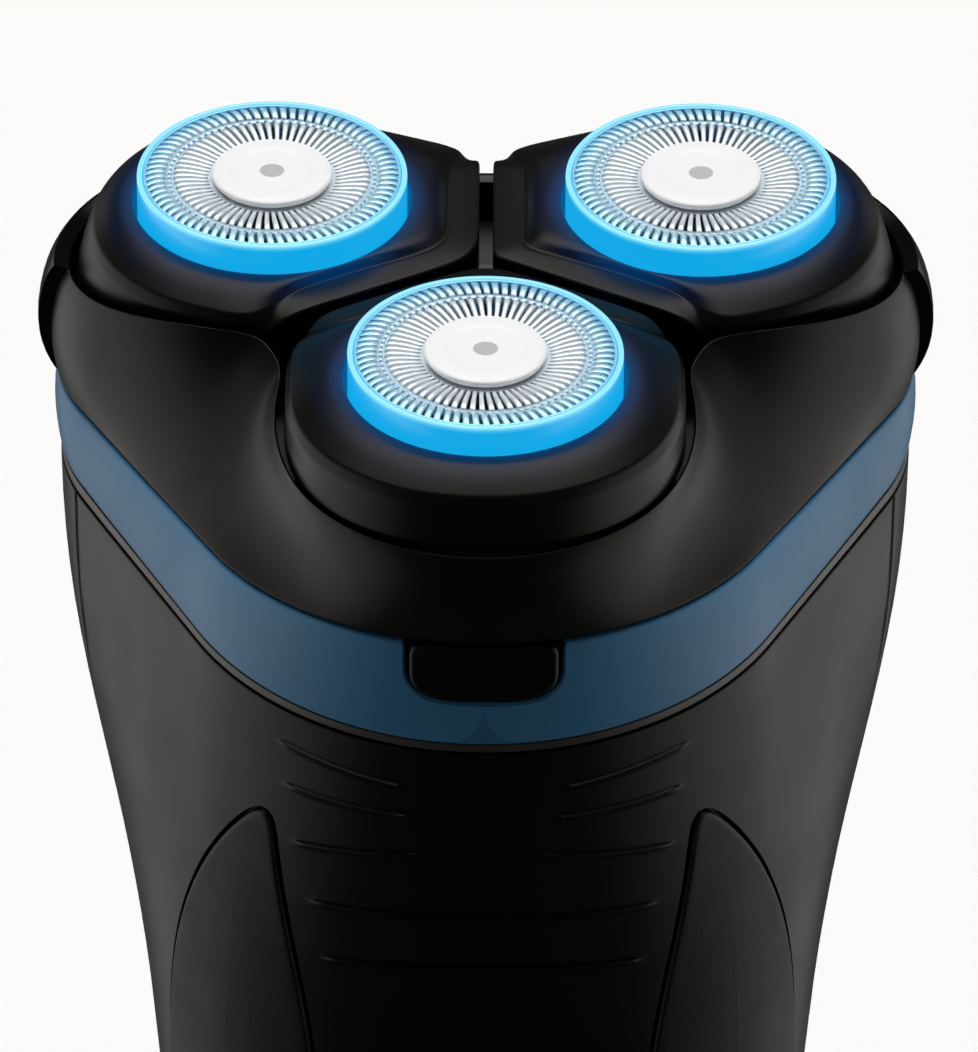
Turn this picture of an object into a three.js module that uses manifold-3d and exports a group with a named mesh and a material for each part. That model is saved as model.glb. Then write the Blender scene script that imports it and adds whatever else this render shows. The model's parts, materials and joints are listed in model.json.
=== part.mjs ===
// A cordless three-head rotary shaver, standing upright on its flat base.
// Units are millimetres. +Z is up, the front of the shaver faces -Y, and the origin is the
// centre of the flat base. The shaving head is modelled in its own tilted group, where +Z is
// the direction the guards face and Z = 0 is the plane of the guards' cutting faces.

import * as THREE from 'three';
import { mergeVertices } from 'three/addons/utils/BufferGeometryUtils.js';
import Module from 'manifold-3d';

const wasm = await Module();
wasm.setup();

// ---- Driving dimensions -------------------------------------------------------------------

const headTilt = 15;              // degrees that the head leans forward
const headPlace = [0, -13, 153];  // centre of the guards' plane
const headReach = 17.12;          // motor axis to each cutting head's axis
const rearHeadAngle = 22.24;      // degrees that the two rear heads point behind the X axis

const guardRadius = 9.5;
const ringRadius = 10;
const ringFoot = -8.9;
const sleeveRadius = 10.3;
const podTop = -2.1;
const podCrease = -4;
const podFoot = -7.8;
const podGap = 0.5;               // from each pod to the line that parts two pods

const skirtFoot = -16.6;
const collarTop = -16.9;
const neckLevel = -22.76;         // where the motor axis meets the foot of the collar
const neckSlope = 0.108;          // rise of the collar's foot towards the back
const hingeAxis = { y: 23.6, z: -18.2 };

const centralTeeth = 18;
const driveTeeth = 21;
const gearModule = 2 * headReach / (centralTeeth + driveTeeth);
const gearFoot = -23.2;
const gearThickness = 2.2;

const shellWall = 2.2;
const shellFoot = 7.9;
const gap = 0.3;                  // between pieces that rest on each other

// Each head's pod: how far its nose and sides reach from the head's axis, how much its foot
// flares, the reach of the skirt's rim past the nose and past the sides, and the lines that part it
// from the others.
const rearPod = { reach: 13.2, side: 13.8, flare: 1.2, rim: 15.4, rimSide: 15.4 };
const heads = [
  {
    name: 'front', angle: -90, reach: 13.7, side: 14.3, flare: 0.3, rim: 15, rimSide: 15.9,
    partings: [-150, -30],
  },
  { name: 'right', angle: rearHeadAngle, ...rearPod, partings: [-30, 90] },
  { name: 'left', angle: 180 - rearHeadAngle, ...rearPod, partings: [90, 210] },
];
for (const head of heads) {
  head.x = headReach * Math.cos(radians(head.angle));
  head.y = headReach * Math.sin(radians(head.angle));
}

// ---- Small helpers ------------------------------------------------------------------------

function radians(degrees) {
  return degrees * Math.PI / 180;
}

function mix(a, b, share) {
  return a + (b - a) * share;
}

function smoothStep(value) {
  const t = Math.min(1, Math.max(0, value));
  return t * t * (3 - 2 * t);
}

function steps(from, to, count) {
  return Array.from({ length: count + 1 }, (_, i) => mix(from, to, i / count));
}

function polar(angle, radius, z, x = 0, y = 0) {
  return new THREE.Vector3(x + radius * Math.cos(angle), y + radius * Math.sin(angle), z);
}

/** A closed surface with its faces turned outwards. */
function closedSurface(points, faces) {
  const cross = new THREE.Vector3();
  let volume = 0;
  for (const [a, b, c] of faces) {
    volume += points[a].dot(cross.crossVectors(points[b], points[c]));
  }
  const turned = volume < 0 ? faces.map(([a, b, c]) => [a, c, b]) : faces;
  const geometry = new THREE.BufferGeometry().setFromPoints(points);
  geometry.setIndex(turned.flat());
  geometry.computeVertexNormals();
  return geometry;
}

/** A wall with an outer and an inner skin, each a grid of rows of points. */
function wall(outer, inner, closed) {
  const rows = outer.length;
  const columns = outer[0].length;
  const points = [...outer.flat(), ...inner.flat()];
  const skin = rows * columns;
  const faces = [];
  const quad = (a, b, c, d) => faces.push([a, b, c], [a, c, d]);
  const spans = closed ? columns : columns - 1;
  for (let j = 0; j < spans; j += 1) {
    const k = (j + 1) % columns;
    for (let i = 0; i + 1 < rows; i += 1) {
      const here = i * columns;
      const next = here + columns;
      quad(here + j, here + k, next + k, next + j);
      quad(skin + here + k, skin + here + j, skin + next + j, skin + next + k);
    }
    const last = (rows - 1) * columns;
    quad(k, j, skin + j, skin + k);
    quad(last + j, last + k, skin + last + k, skin + last + j);
  }
  if (!closed) {
    for (let i = 0; i + 1 < rows; i += 1) {
      const here = i * columns;
      const next = here + columns;
      const end = columns - 1;
      quad(here, next, skin + next, skin + here);
      quad(next + end, here + end, skin + here + end, skin + next + end);
    }
  }
  return closedSurface(points, faces);
}

/** A solid through rings of points, with a fan of faces over each end. */
function loft(rings) {
  const count = rings[0].length;
  const points = rings.flat();
  const faces = [];
  for (let i = 0; i + 1 < rings.length; i += 1) {
    for (let j = 0; j < count; j += 1) {
      const k = (j + 1) % count;
      const here = i * count;
      const next = here + count;
      faces.push([here + j, here + k, next + k], [here + j, next + k, next + j]);
    }
  }
  const middle = (ring) => ring.reduce((sum, p) => sum.add(p), new THREE.Vector3()).divideScalar(count);
  const first = points.push(middle(rings[0])) - 1;
  const last = points.push(middle(rings.at(-1))) - 1;
  const top = (rings.length - 1) * count;
  for (let j = 0; j < count; j += 1) {
    const k = (j + 1) % count;
    faces.push([first, k, j], [last, top + j, top + k]);
  }
  return closedSurface(points, faces);
}

/** Shared vertices only, and no triangle without an area. */
function welded(geometry) {
  const bare = geometry.clone();
  bare.deleteAttribute('normal');
  bare.deleteAttribute('uv');
  const merged = mergeVertices(bare, 1e-4);
  const index = [...merged.index.array];
  const kept = [];
  for (let i = 0; i < index.length; i += 3) {
    const [a, b, c] = index.slice(i, i + 3);
    if (a !== b && b !== c && a !== c) kept.push(a, b, c);
  }
  merged.setIndex(kept);
  return merged;
}

function solid(geometry) {
  const merged = welded(geometry);
  return new wasm.Manifold(new wasm.Mesh({
    numProp: 3,
    vertProperties: new Float32Array(merged.attributes.position.array),
    triVerts: new Uint32Array(merged.index.array),
  }));
}

function surface(body) {
  const mesh = body.getMesh();
  const geometry = new THREE.BufferGeometry();
  geometry.setAttribute('position', new THREE.Float32BufferAttribute(mesh.vertProperties, 3));
  geometry.setIndex([...mesh.triVerts]);
  geometry.computeVertexNormals();
  return geometry;
}

function join(first, ...others) {
  return surface(others.reduce((body, other) => body.add(solid(other)), solid(first)));
}

function cut(first, ...others) {
  return surface(others.reduce((body, other) => body.subtract(solid(other)), solid(first)));
}

/** A round solid about Z. The profile is a list of [radius, height] points. */
function turned(profile, segments, closesOnItself = false) {
  const points = profile.map(([radius, height]) => new THREE.Vector2(radius, height));
  if (closesOnItself) points.push(points[0].clone());
  return new THREE.LatheGeometry(points, segments).rotateX(Math.PI / 2);
}

function rod(radius, from, to, segments = 16) {
  return turned([[0, from], [radius, from], [radius, to], [0, to]], segments);
}

function tube(inner, outer, from, to, segments = 32) {
  return turned([[inner, from], [outer, from], [outer, to], [inner, to]], segments, true);
}

function rodAlongX(radius, from, to, segments = 14) {
  return rod(radius, from, to, segments).rotateY(Math.PI / 2);
}

function rodAlongY(radius, from, to, segments = 32) {
  return rod(radius, from, to, segments).rotateX(-Math.PI / 2);
}

function block(x, y, z) {
  const box = new THREE.BoxGeometry(x[1] - x[0], y[1] - y[0], z[1] - z[0]);
  return box.translate((x[0] + x[1]) / 2, (y[0] + y[1]) / 2, (z[0] + z[1]) / 2);
}

/** A flat plate from a polar outline, with round holes. */
function plate(outline, from, to, holes, count = 36) {
  const corners = steps(-Math.PI, Math.PI, count).slice(0, count);
  const shape = new THREE.Shape(corners.map((a) => {
    const r = outline(a);
    return new THREE.Vector2(r * Math.cos(a), r * Math.sin(a));
  }));
  for (const { x, y, radius } of holes) {
    shape.holes.push(new THREE.Path().absarc(x, y, radius, 0, 2 * Math.PI, true));
  }
  const options = { depth: to - from, bevelEnabled: false, curveSegments: 7 };
  return new THREE.ExtrudeGeometry(shape, options).translate(0, 0, from);
}

class Helix extends THREE.Curve {
  constructor(radius, height, turns) {
    super();
    this.radius = radius;
    this.height = height;
    this.turns = turns;
  }

  getPoint(t) {
    return polar(2 * Math.PI * this.turns * t, this.radius, this.height * t);
  }
}

function coilSpring(radius, wire, height, turns) {
  const section = new THREE.Shape().absarc(0, 0, wire, 0, 2 * Math.PI);
  return new THREE.ExtrudeGeometry(section, {
    steps: Math.round(turns * 8),
    curveSegments: 3,
    extrudePath: new Helix(radius, height, turns),
  });
}

// ---- Outlines of the head, all polar about the motor axis -----------------------------------

/** Radius of the smallest convex outline around some circles. */
function aroundCircles(circles) {
  const normals = steps(-Math.PI, Math.PI, 180).map((angle) => {
    const reach = circles.map(([x, y, r]) => x * Math.cos(angle) + y * Math.sin(angle) + r);
    return { angle, reach: Math.max(...reach) };
  });
  return (theta) => {
    let radius = Infinity;
    for (const normal of normals) {
      const lean = Math.cos(theta - normal.angle);
      if (lean > 0.05) radius = Math.min(radius, normal.reach / lean);
    }
    return radius;
  };
}

const collarTopOutline = aroundCircles([[0, -7.6, 22.8], [17.6, 7, 14.4], [-17.6, 7, 14.4]]);
const neckOutline = aroundCircles([[0, -5.6, 24.1], [16.8, 6, 15], [-16.8, 6, 15]]);
const skirtMiddleOutline = aroundCircles([[0, -16.2, 15.8], [16.4, 6.6, 16], [-16.4, 6.6, 16]]);

/** How far an angle lies in the hollows between the lobes of the head, from 0 to 1. */
function hollow(theta) {
  const near = (centre, width) => {
    const away = Math.atan2(Math.sin(theta - radians(centre)), Math.cos(theta - radians(centre)));
    return Math.exp(-((away / radians(width)) ** 2));
  };
  return {
    surface: near(-149, 17) + near(-31, 17),
    rim: near(-156, 24) + near(-24, 24),
    back: near(90, 22),
  };
}

/** The top edge of the skirt: around the pods, with soft hollows between them. */
function skirtRimRadius(theta) {
  let sum = 18.9 ** 24;
  for (const head of heads) {
    const along = head.x * Math.cos(theta) + head.y * Math.sin(theta);
    const across = head.x * Math.sin(theta) - head.y * Math.cos(theta);
    if (Math.abs(across) < head.rimSide && along > 0) {
      sum += (along + head.rim * Math.sqrt(1 - (across / head.rimSide) ** 2)) ** 24;
    }
  }
  return sum ** (1 / 24);
}

function skirtRimLevel(theta) {
  const { rim, back } = hollow(theta);
  return podFoot + 4 * rim - 0.6 * back;
}

/** Outer radius of the skirt, from its rim (share 0) to its foot (share 1). */
function skirtRadius(theta, share) {
  const rim = skirtRimRadius(theta);
  const foot = collarTopOutline(theta);
  const middle = skirtMiddleOutline(theta) - 1.8 * hollow(theta).surface;
  const pull = 2 * middle - (rim + foot) / 2;
  return (1 - share) ** 2 * rim + 2 * share * (1 - share) * pull + share ** 2 * foot;
}

function skirtRow(angles, share, offset) {
  return angles.map((theta) => {
    const z = mix(skirtRimLevel(theta), skirtFoot, share);
    return polar(theta, skirtRadius(theta, share) + offset, z);
  });
}

// ---- Shaving head ---------------------------------------------------------------------------

/** A pod's outline about its own axis: a round nose, two sides and two partings. */
function podOutline(head, flare) {
  const power = 14;
  return (phi) => {
    const lean = phi - radians(head.angle);
    const nose = (Math.max(0, Math.cos(lean)) / (head.reach + flare)) ** 2.1
      + (Math.abs(Math.sin(lean)) / (head.side + Math.min(flare, 0.4))) ** 2.1;
    let sum = nose ** (power / 2.1);
    for (const parting of head.partings) {
      const side = Math.sin(radians(parting - head.angle)) > 0 ? 1 : -1;
      const normal = radians(parting) + side * Math.PI / 2;
      const distance = -(head.x * Math.cos(normal) + head.y * Math.sin(normal)) - podGap;
      sum += (Math.max(0, Math.cos(phi - normal)) / distance) ** power;
    }
    return sum ** (-1 / power);
  };
}

function podGeometry(head) {
  const angles = steps(-Math.PI, Math.PI, 26).slice(0, 26);
  const foot = podOutline(head, head.flare);
  const crease = podOutline(head, 0);
  const row = (radius, z) => angles.map((phi) => polar(phi, radius(phi), z));
  const shoulder = (phi) => mix(sleeveRadius, crease(phi), 0.6);
  const outer = [
    row(foot, podFoot),
    row((phi) => mix(foot(phi), crease(phi), 0.6), mix(podFoot, podCrease, 0.6)),
    row((phi) => crease(phi) - 0.5, podCrease + 0.5),
    row(shoulder, podTop - 0.4),
    row(() => sleeveRadius, podTop),
    row(() => sleeveRadius, podFoot),
  ];
  const inner = [
    row((phi) => foot(phi) - 1.1, podFoot),
    row((phi) => foot(phi) - 1.2, mix(podFoot, podCrease, 0.45)),
    row((phi) => crease(phi) - 1.5, podCrease - 0.7),
    row((phi) => Math.max(shoulder(phi) - 0.3, sleeveRadius + 1), podTop - 1.6),
    row(() => sleeveRadius + 0.9, podTop - 1.7),
    row(() => sleeveRadius + 0.9, podFoot),
  ];
  return wall(outer, inner, true);
}

/** The cup under a pod that keeps the guard in, with its two pivot pins. */
function retainerGeometry(head) {
  const cup = turned([
    [8.2, -11.8], [12.2, -11.8], [12.2, podFoot - gap], [11.3, podFoot - gap], [11.3, -10.8], [8.2, -10.8],
  ], 20, true);
  const pins = [-1, 1].map((side) => rodAlongX(1, 11.8, 13.2, 10)
    .rotateZ(side > 0 ? 0 : Math.PI)
    .translate(0, 0, -11)
    .rotateZ(radians(head.angle + 90)));
  return join(cup, ...pins);
}

/** The slotted guard over a cutter, with a seat for its cap. */
function guardGeometry() {
  const dish = turned([
    [0, -1], [4, -1], [4.6, -0.6], [8.9, -0.6], [8.9, -3.4], [guardRadius, -3.4],
    [guardRadius, 0], [4.7, 0], [4.5, -0.45], [0, -0.45],
  ], 24);
  const slots = steps(0, 360, 9).slice(0, 9).map((angle) => (
    block([5.3, 8.5], [-0.25, 0.25], [-2, 1]).rotateZ(radians(angle + 11))
  ));
  return cut(dish, ...slots);
}

function guardRingGeometry() {
  return turned([
    [guardRadius + 0.1, ringFoot], [10.9, ringFoot], [10.9, ringFoot + 0.8],
    [ringRadius, ringFoot + 0.8], [ringRadius, -0.1], [ringRadius - 0.15, 0.05], [guardRadius + 0.1, 0.05],
  ], 22, true);
}

function guardCapGeometry() {
  return turned([[0, -0.35], [4.35, -0.35], [4.45, 0.1], [3.9, 0.35], [0, 0.45]], 20);
}

/** A cutter wheel: a socket hub, a disc and a ring of blades. */
function cutterGeometry() {
  const wheel = turned([
    [0, -4.7], [2.2, -4.7], [2.2, -6.4], [3, -6.4], [3, -2.4], [8.6, -2.4], [8.6, -1.8], [0, -1.8],
  ], 18);
  const blades = steps(0, 360, 9).slice(0, 9).map((angle) => (
    block([5.2, 8.5], [-0.3, 0.3], [-2.1, -0.75]).rotateZ(radians(angle))
  ));
  return join(wheel, ...blades);
}

function skirtGeometry() {
  const angles = steps(radians(-188.5), radians(8.5), 34);
  const shares = [0, 0.22, 0.5, 0.78, 1];
  const outer = shares.map((share) => skirtRow(angles, share, 0));
  const inner = shares.map((share) => skirtRow(angles, share, -mix(0.4, 1.6, Math.min(1, share * 2))));
  return wall(outer, inner, false);
}

/** The glossy back cover of the skirt, 1 mm prouder than it, with the hinge's middle knuckle. */
function skirtBackGeometry() {
  const angles = steps(radians(9.2), radians(170.8), 24);
  const shares = [0, 0.3, 0.7, 1];
  const proud = 0.9;
  const outer = shares.map((share) => skirtRow(angles, share, proud));
  const inner = shares.map((share) => skirtRow(angles, share, proud - mix(1.1, 2.2, share)));
  const cover = wall(outer, inner, false);
  const { y, z } = hingeAxis;
  const web = block([-3.4, 3.4], [y - 1.7, y], [z, skirtFoot + 1.6]);
  const knuckle = rodAlongX(1.7, -3.4, 3.4).translate(0, y, z);
  const bore = rodAlongX(1.1, -5, 5).translate(0, y, z);
  return cut(join(cover, web, knuckle), bore);
}

/** The frame inside the skirt that carries the three pods on saddles. */
function headFrameGeometry() {
  const foot = -14.2;
  const top = -12.6;
  const inset = 2.6;
  const outline = (theta) => skirtRadius(theta, 0.72) - inset;
  const holes = heads.map(({ x, y }) => ({ x, y, radius: 7 }));
  const base = plate(outline, foot, top, holes);
  const saddles = [];
  const clearances = [];
  for (const head of heads) {
    for (const side of [-1, 1]) {
      const place = (geometry) => geometry
        .rotateZ(radians(head.angle + 90 * side))
        .translate(head.x, head.y, 0);
      saddles.push(place(block([12.5, 13.9], [-1.9, 1.9], [top - 0.5, -10.6])));
      clearances.push(place(rodAlongX(1.3, 12, 14.5, 10).translate(0, 0, -11)));
      clearances.push(place(block([12, 14.5], [-1.3, 1.3], [-11, -10])));
    }
  }
  return cut(join(base, ...saddles), ...clearances);
}

function latchTongueGeometry() {
  const tongue = block([-3.2, 3.2], [-24.4, -23.2], [-19.4, -14.5]);
  const hook = block([-3.2, 3.2], [-25, -24.2], [-19.4, -18.6]);
  return join(tongue, hook);
}

// ---- Collar and drive -----------------------------------------------------------------------

function collarGeometry() {
  const angles = steps(-Math.PI, Math.PI, 44).slice(0, 44);
  const row = (share, offset) => angles.map((theta) => {
    const bulge = 1.2 * share * (1 - share);
    const radius = mix(collarTopOutline(theta), neckOutline(theta), share) + bulge + offset;
    const foot = neckLevel + neckSlope * radius * Math.sin(theta);
    return polar(theta, radius, mix(collarTop, foot, share));
  });
  const shares = [0, 0.5, 1];
  const band = wall(shares.map((s) => row(s, 0)), shares.map((s) => row(s, -1.9)), true);
  const { y, z } = hingeAxis;
  const lugs = [-1, 1].flatMap((side) => {
    const span = side > 0 ? [3.8, 7.4] : [-7.4, -3.8];
    return [
      block(span, [20.4, y], [z - 1.5, z + 0.7]),
      rodAlongX(1.7, ...span).translate(0, y, z),
    ];
  });
  const bore = rodAlongX(1.1, -9, 9).translate(0, y, z);
  const notch = releaseShape(gap).translate(0, -26, 0);
  return cut(join(band, ...lugs), bore, notch);
}

/** The half-moon of the release button, as a solid 8 mm deep that ends at Y = 0. */
function releaseShape(grow) {
  const half = 5.4 + grow;
  const top = collarTop + 0.1 + grow * 3;
  const foot = -21.6 - grow;
  const round = 3.6;
  const shape = new THREE.Shape();
  shape.moveTo(-half, top);
  shape.lineTo(half, top);
  shape.lineTo(half, foot + round);
  shape.quadraticCurveTo(half, foot, half - round, foot);
  shape.lineTo(-half + round, foot);
  shape.quadraticCurveTo(-half, foot, -half, foot + round);
  const options = { depth: 8, bevelEnabled: false, curveSegments: 5 };
  return new THREE.ExtrudeGeometry(shape, options).rotateX(Math.PI / 2);
}

function releaseButtonGeometry() {
  const face = -31.4;
  const behindWall = -28;
  const flangeFront = -27;
  const key = block([-8, 8], [face, behindWall], [-24, -16]);
  const neck = block([-8, 8], [behindWall - 0.2, flangeFront + 0.2], [-19.8, -16]);
  const halfMoon = solid(releaseShape(0).translate(0, -26, 0));
  const shaped = surface(solid(key).add(solid(neck)).intersect(halfMoon));
  return join(shaped, block([-6.3, 6.3], [flangeFront, flangeFront + 0.8], [-19.8, -17.3]));
}

/** A gear's outline with plain tapered teeth, one of them centred on the given angle. */
function gearShape(teeth, toothAngle) {
  const pitch = gearModule * teeth / 2;
  const points = [];
  for (let i = 0; i < teeth; i += 1) {
    const centre = toothAngle + 2 * Math.PI * i / teeth;
    const root = { radius: pitch - 0.75, half: 0.75 };
    const tip = { radius: pitch + 0.45, half: 0.38 };
    for (const [end, side] of [[root, -1], [tip, -1], [tip, 1], [root, 1]]) {
      const angle = centre + side * end.half / end.radius;
      points.push(new THREE.Vector2(end.radius * Math.cos(angle), end.radius * Math.sin(angle)));
    }
  }
  return new THREE.Shape(points);
}

function gearGeometry(teeth, toothAngle, bore) {
  const shape = gearShape(teeth, toothAngle);
  if (bore > 0) shape.holes.push(new THREE.Path().absarc(0, 0, bore, 0, 2 * Math.PI, true));
  const options = { depth: gearThickness, bevelEnabled: false, curveSegments: 5 };
  return new THREE.ExtrudeGeometry(shape, options).translate(0, 0, gearFoot);
}

/** Turns a drive gear so that one of its gaps faces a tooth of the central gear. */
function meshingAngle(head) {
  const centralPitch = 360 / centralTeeth;
  const drivePitch = 360 / driveTeeth;
  const centralPhase = head.angle / centralPitch;
  const drivePhase = 0.5 - centralPhase;
  return radians(head.angle + 180 - drivePhase * drivePitch);
}

function centralGearGeometry() {
  const shaft = rod(1, -59, gearFoot + gearThickness + 0.4, 12);
  return join(gearGeometry(centralTeeth, 0, 0), shaft);
}

function spindleGeometry() {
  return turned([
    [0, -23.8], [1.7, -23.8], [1.7, -13.5], [1.2, -12.5], [1.2, -6.2], [0.9, -5.6], [0, -5.6],
  ], 12);
}

function gearPlateGeometry() {
  const holes = [
    { x: 0, y: 0, radius: 3 },
    ...screwPlaces.map(({ x, y }) => ({ x, y, radius: 1.4 })),
  ];
  return plate((theta) => neckOutline(theta) - 4.2, -25.4, -24.1, holes);
}

function hairChamberGeometry() {
  const outline = (theta) => {
    const wallRadius = collarTopOutline(theta) - 2.4;
    const front = Math.sin(theta) < -0.3 ? 22.2 / -Math.sin(theta) : Infinity;
    return Math.min(wallRadius, front);
  };
  const holes = heads.map(({ x, y }) => ({ x, y, radius: 2.3 }));
  return plate(outline, -18.8, -17.5, holes, 44);
}

const screwPlaces = [[-150, 21], [-30, 21], [90, 13.5]].map(([angle, reach]) => ({
  x: reach * Math.cos(radians(angle)),
  y: reach * Math.sin(radians(angle)),
}));

function screwGeometry() {
  return turned([
    [0, -30], [0.8, -30], [1.1, -29], [1.1, -23.8], [2.1, -23.8], [1.9, -22.7], [0, -22.5],
  ], 12);
}

function motorGeometry() {
  return turned([
    [1.4, -56], [10, -56], [11, -55], [11, -27], [5, -27], [5, -25.8], [1.4, -25.8],
  ], 28, true);
}

// ---- Handle ---------------------------------------------------------------------------------

const spine = new THREE.CubicBezierCurve3(
  new THREE.Vector3(0, 0, 0),
  new THREE.Vector3(0, 0, 42),
  new THREE.Vector3(0, 9.2, 89),
  new THREE.Vector3(0, -7.1, 131),
);
const spineLength = spine.getLength();
const neckStart = 88;              // height where the oval starts to turn into the neck's outline

// Half width, reach to the front, reach to the back and squareness at heights along the spine.
const stations = [
  [0, 21.6, 17.4, 17.4, 2.5],
  [22, 22.9, 18.3, 18.4, 2.5],
  [60, 23, 18.8, 18.8, 2.4],
  [90, 25.5, 21.4, 20, 2.3],
  [113, 28, 25.6, 21, 2.2],
  [132.2, 31.8, 29.7, 21, 2.1],
];
const sections = new THREE.CubicInterpolant(
  stations.map(([height]) => height),
  stations.flatMap((station) => station.slice(1)),
  4,
);

/** Radius of the handle at a height along its spine. Angle -90 degrees is the front. */
function handleRadius(height, theta) {
  const [half, front, back, square] = sections.evaluate(height);
  const reach = Math.sin(theta) < 0 ? front : back;
  const oval = (Math.abs(Math.cos(theta) / half) ** square + Math.abs(Math.sin(theta) / reach) ** square)
    ** (-1 / square);
  return mix(oval, neckOutline(theta), smoothStep((height - neckStart) / (spineLength - neckStart)));
}

function handlePoint(height, theta, offset) {
  const u = height / spineLength;
  const tangent = spine.getTangentAt(u);
  const right = new THREE.Vector3(1, 0, 0);
  const back = new THREE.Vector3().crossVectors(tangent, right);
  const radius = handleRadius(height, theta) + offset;
  return spine.getPointAt(u)
    .addScaledVector(right, radius * Math.cos(theta))
    .addScaledVector(back, radius * Math.sin(theta));
}

function handleWall(heights, angles, outside, inside, closed) {
  const skin = (offset) => heights.map((height) => (
    angles.map((theta) => handlePoint(height, theta, offset))
  ));
  return wall(skin(outside), skin(inside), closed);
}

const trimTop = spineLength - 0.2;
const trimFoot = spineLength - 1.2;
const shellTop = trimFoot - gap;

function shellGeometry(fromDegrees, toDegrees) {
  const angles = steps(radians(fromDegrees), radians(toDegrees), 14);
  const heights = [shellFoot, ...steps(22, shellTop, 9)];
  return handleWall(heights, angles, 0, -shellWall, false);
}

const button = { z: 62, radius: 7.4 };
const socketPin = 3;
const lens = { z: 40, halfWidth: 1.6, halfHeight: 4.6 };

/** A stadium-shaped bar along Y, from one depth to another. */
function lensBar(grow, from, to) {
  const half = lens.halfWidth + grow;
  const straight = lens.halfHeight - lens.halfWidth;
  const shape = new THREE.Shape();
  shape.absarc(0, straight, half, 0, Math.PI);
  shape.absarc(0, -straight, half, Math.PI, 2 * Math.PI);
  const options = { depth: to - from, bevelEnabled: false, curveSegments: 6 };
  return new THREE.ExtrudeGeometry(shape, options).rotateX(Math.PI / 2).translate(0, to, lens.z);
}

function frontShellGeometry() {
  const opening = rodAlongY(button.radius + 0.4, -30, -8).translate(0, 0, button.z);
  return cut(
    shellGeometry(-179.6, -0.4),
    opening,
    lensBar(gap, -30, -8),
    gripGeometry(-1, gap),
    gripGeometry(1, gap),
  );
}

/** A soft grip let into the side of the front shell: straight in front, bowed behind. */
function gripGeometry(side, grow) {
  const frontEdge = -121.5;
  const bow = 42;
  const middle = 70;
  const halfLength = 50;
  const heights = steps(-1, 1, 10).map((t) => middle + halfLength * Math.sin(t * 1.38) / 1.01);
  const shares = steps(0, 1, 4);
  const skin = (offset) => heights.map((height) => shares.map((share) => {
    const width = bow * (1 - ((height - middle) / halfLength) ** 2);
    const degrees = frontEdge + 2 * grow - share * (width + 4 * grow);
    const longer = grow * (height - middle) / halfLength;
    const angle = side < 0 ? degrees : -180 - degrees;
    return handlePoint(height + longer, radians(angle), offset);
  }));
  return wall(skin(0.25 + grow * 4), skin(-1.2 - grow), false);
}

function powerButtonGeometry() {
  const cap = rodAlongY(button.radius, -16.9, -12.4);
  const flange = rodAlongY(button.radius + 1.2, -13.2, -12.4);
  return join(cap, flange).translate(0, 0, button.z);
}

/** The foot of the handle, with a flat base and an opening for the charging socket. */
function bottomCapGeometry() {
  const angles = steps(-Math.PI, Math.PI, 40).slice(0, 40);
  const ring = (height, inset) => angles.map((theta) => {
    const radius = handleRadius(Math.max(height, 4), theta) - inset;
    return polar(theta, radius, height);
  });
  const body = loft([ring(0, 2.4), ring(0.7, 0.9), ring(2.2, 0), ring(7, 0)]);
  return cut(body, block([-6.9, 6.9], [5.7, 12.3], [-1, 8]));
}

function socketGeometry() {
  const shroud = block([-6.6, 6.6], [6, 12], [0.4, 7]);
  const recess = block([-5.4, 5.4], [6.75, 11.25], [-1, 5]);
  const pinHoles = [-socketPin, socketPin].map((x) => rod(0.9, 4, 8, 12).translate(x, 9, 0));
  return cut(shroud, recess, ...pinHoles);
}

function chassisGeometry() {
  return join(
    block([-16, 16], [-7.4, -6], [11, 84]),
    block([-10, 10], [-6.2, 9], [11, 13]),
    block([-10, 10], [-6.2, 9], [78, 80]),
    block([-16, -14.6], [-6.2, 2], [11, 84]),
    block([14.6, 16], [-6.2, 2], [11, 84]),
  );
}

function switchGeometry() {
  return join(
    block([-3, 3], [-10.9, -9.9], [button.z - 3, button.z + 3]),
    rodAlongY(1.6, -11.3, -10.5, 12).translate(0, 0, button.z),
  );
}

function batteryTabGeometry(z) {
  return block([-4, 4], [-1.8, 6.2], [z, z + 0.5]);
}

// ---- Materials and assembly -------------------------------------------------------------------

const finishes = {
  satinBlack: { color: 0x1b1a19, roughness: 0.42, metalness: 0 },
  glossBlack: { color: 0x0b0b0b, roughness: 0.16, metalness: 0 },
  softBlack: { color: 0x232221, roughness: 0.75, metalness: 0 },
  collarBlue: { color: 0x4b7191, roughness: 0.4, metalness: 0.1 },
  ringBlue: { color: 0x0fa8ea, roughness: 0.25, metalness: 0 },
  white: { color: 0xeeeeee, roughness: 0.35, metalness: 0 },
  steel: { color: 0xc7ccd1, roughness: 0.25, metalness: 1 },
  brass: { color: 0xb8923f, roughness: 0.35, metalness: 1 },
  olive: { color: 0x34342f, roughness: 0.6, metalness: 0 },
  greyPlastic: { color: 0x6d7174, roughness: 0.55, metalness: 0 },
  circuitGreen: { color: 0x1d5b38, roughness: 0.5, metalness: 0 },
  cellBlue: { color: 0x2a4f86, roughness: 0.35, metalness: 0.1 },
  clear: { color: 0xbfd8e6, roughness: 0.15, metalness: 0 },
};

function piece(name, geometry, finish, parent, x = 0, y = 0, z = 0) {
  const mesh = new THREE.Mesh(welded(geometry), new THREE.MeshStandardMaterial(finishes[finish]));
  mesh.name = name;
  mesh.position.set(x, y, z);
  parent.add(mesh);
}

const shaver = new THREE.Group();
const head = new THREE.Group();
head.position.set(...headPlace);
head.rotation.x = radians(headTilt);
shaver.add(head);

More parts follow.
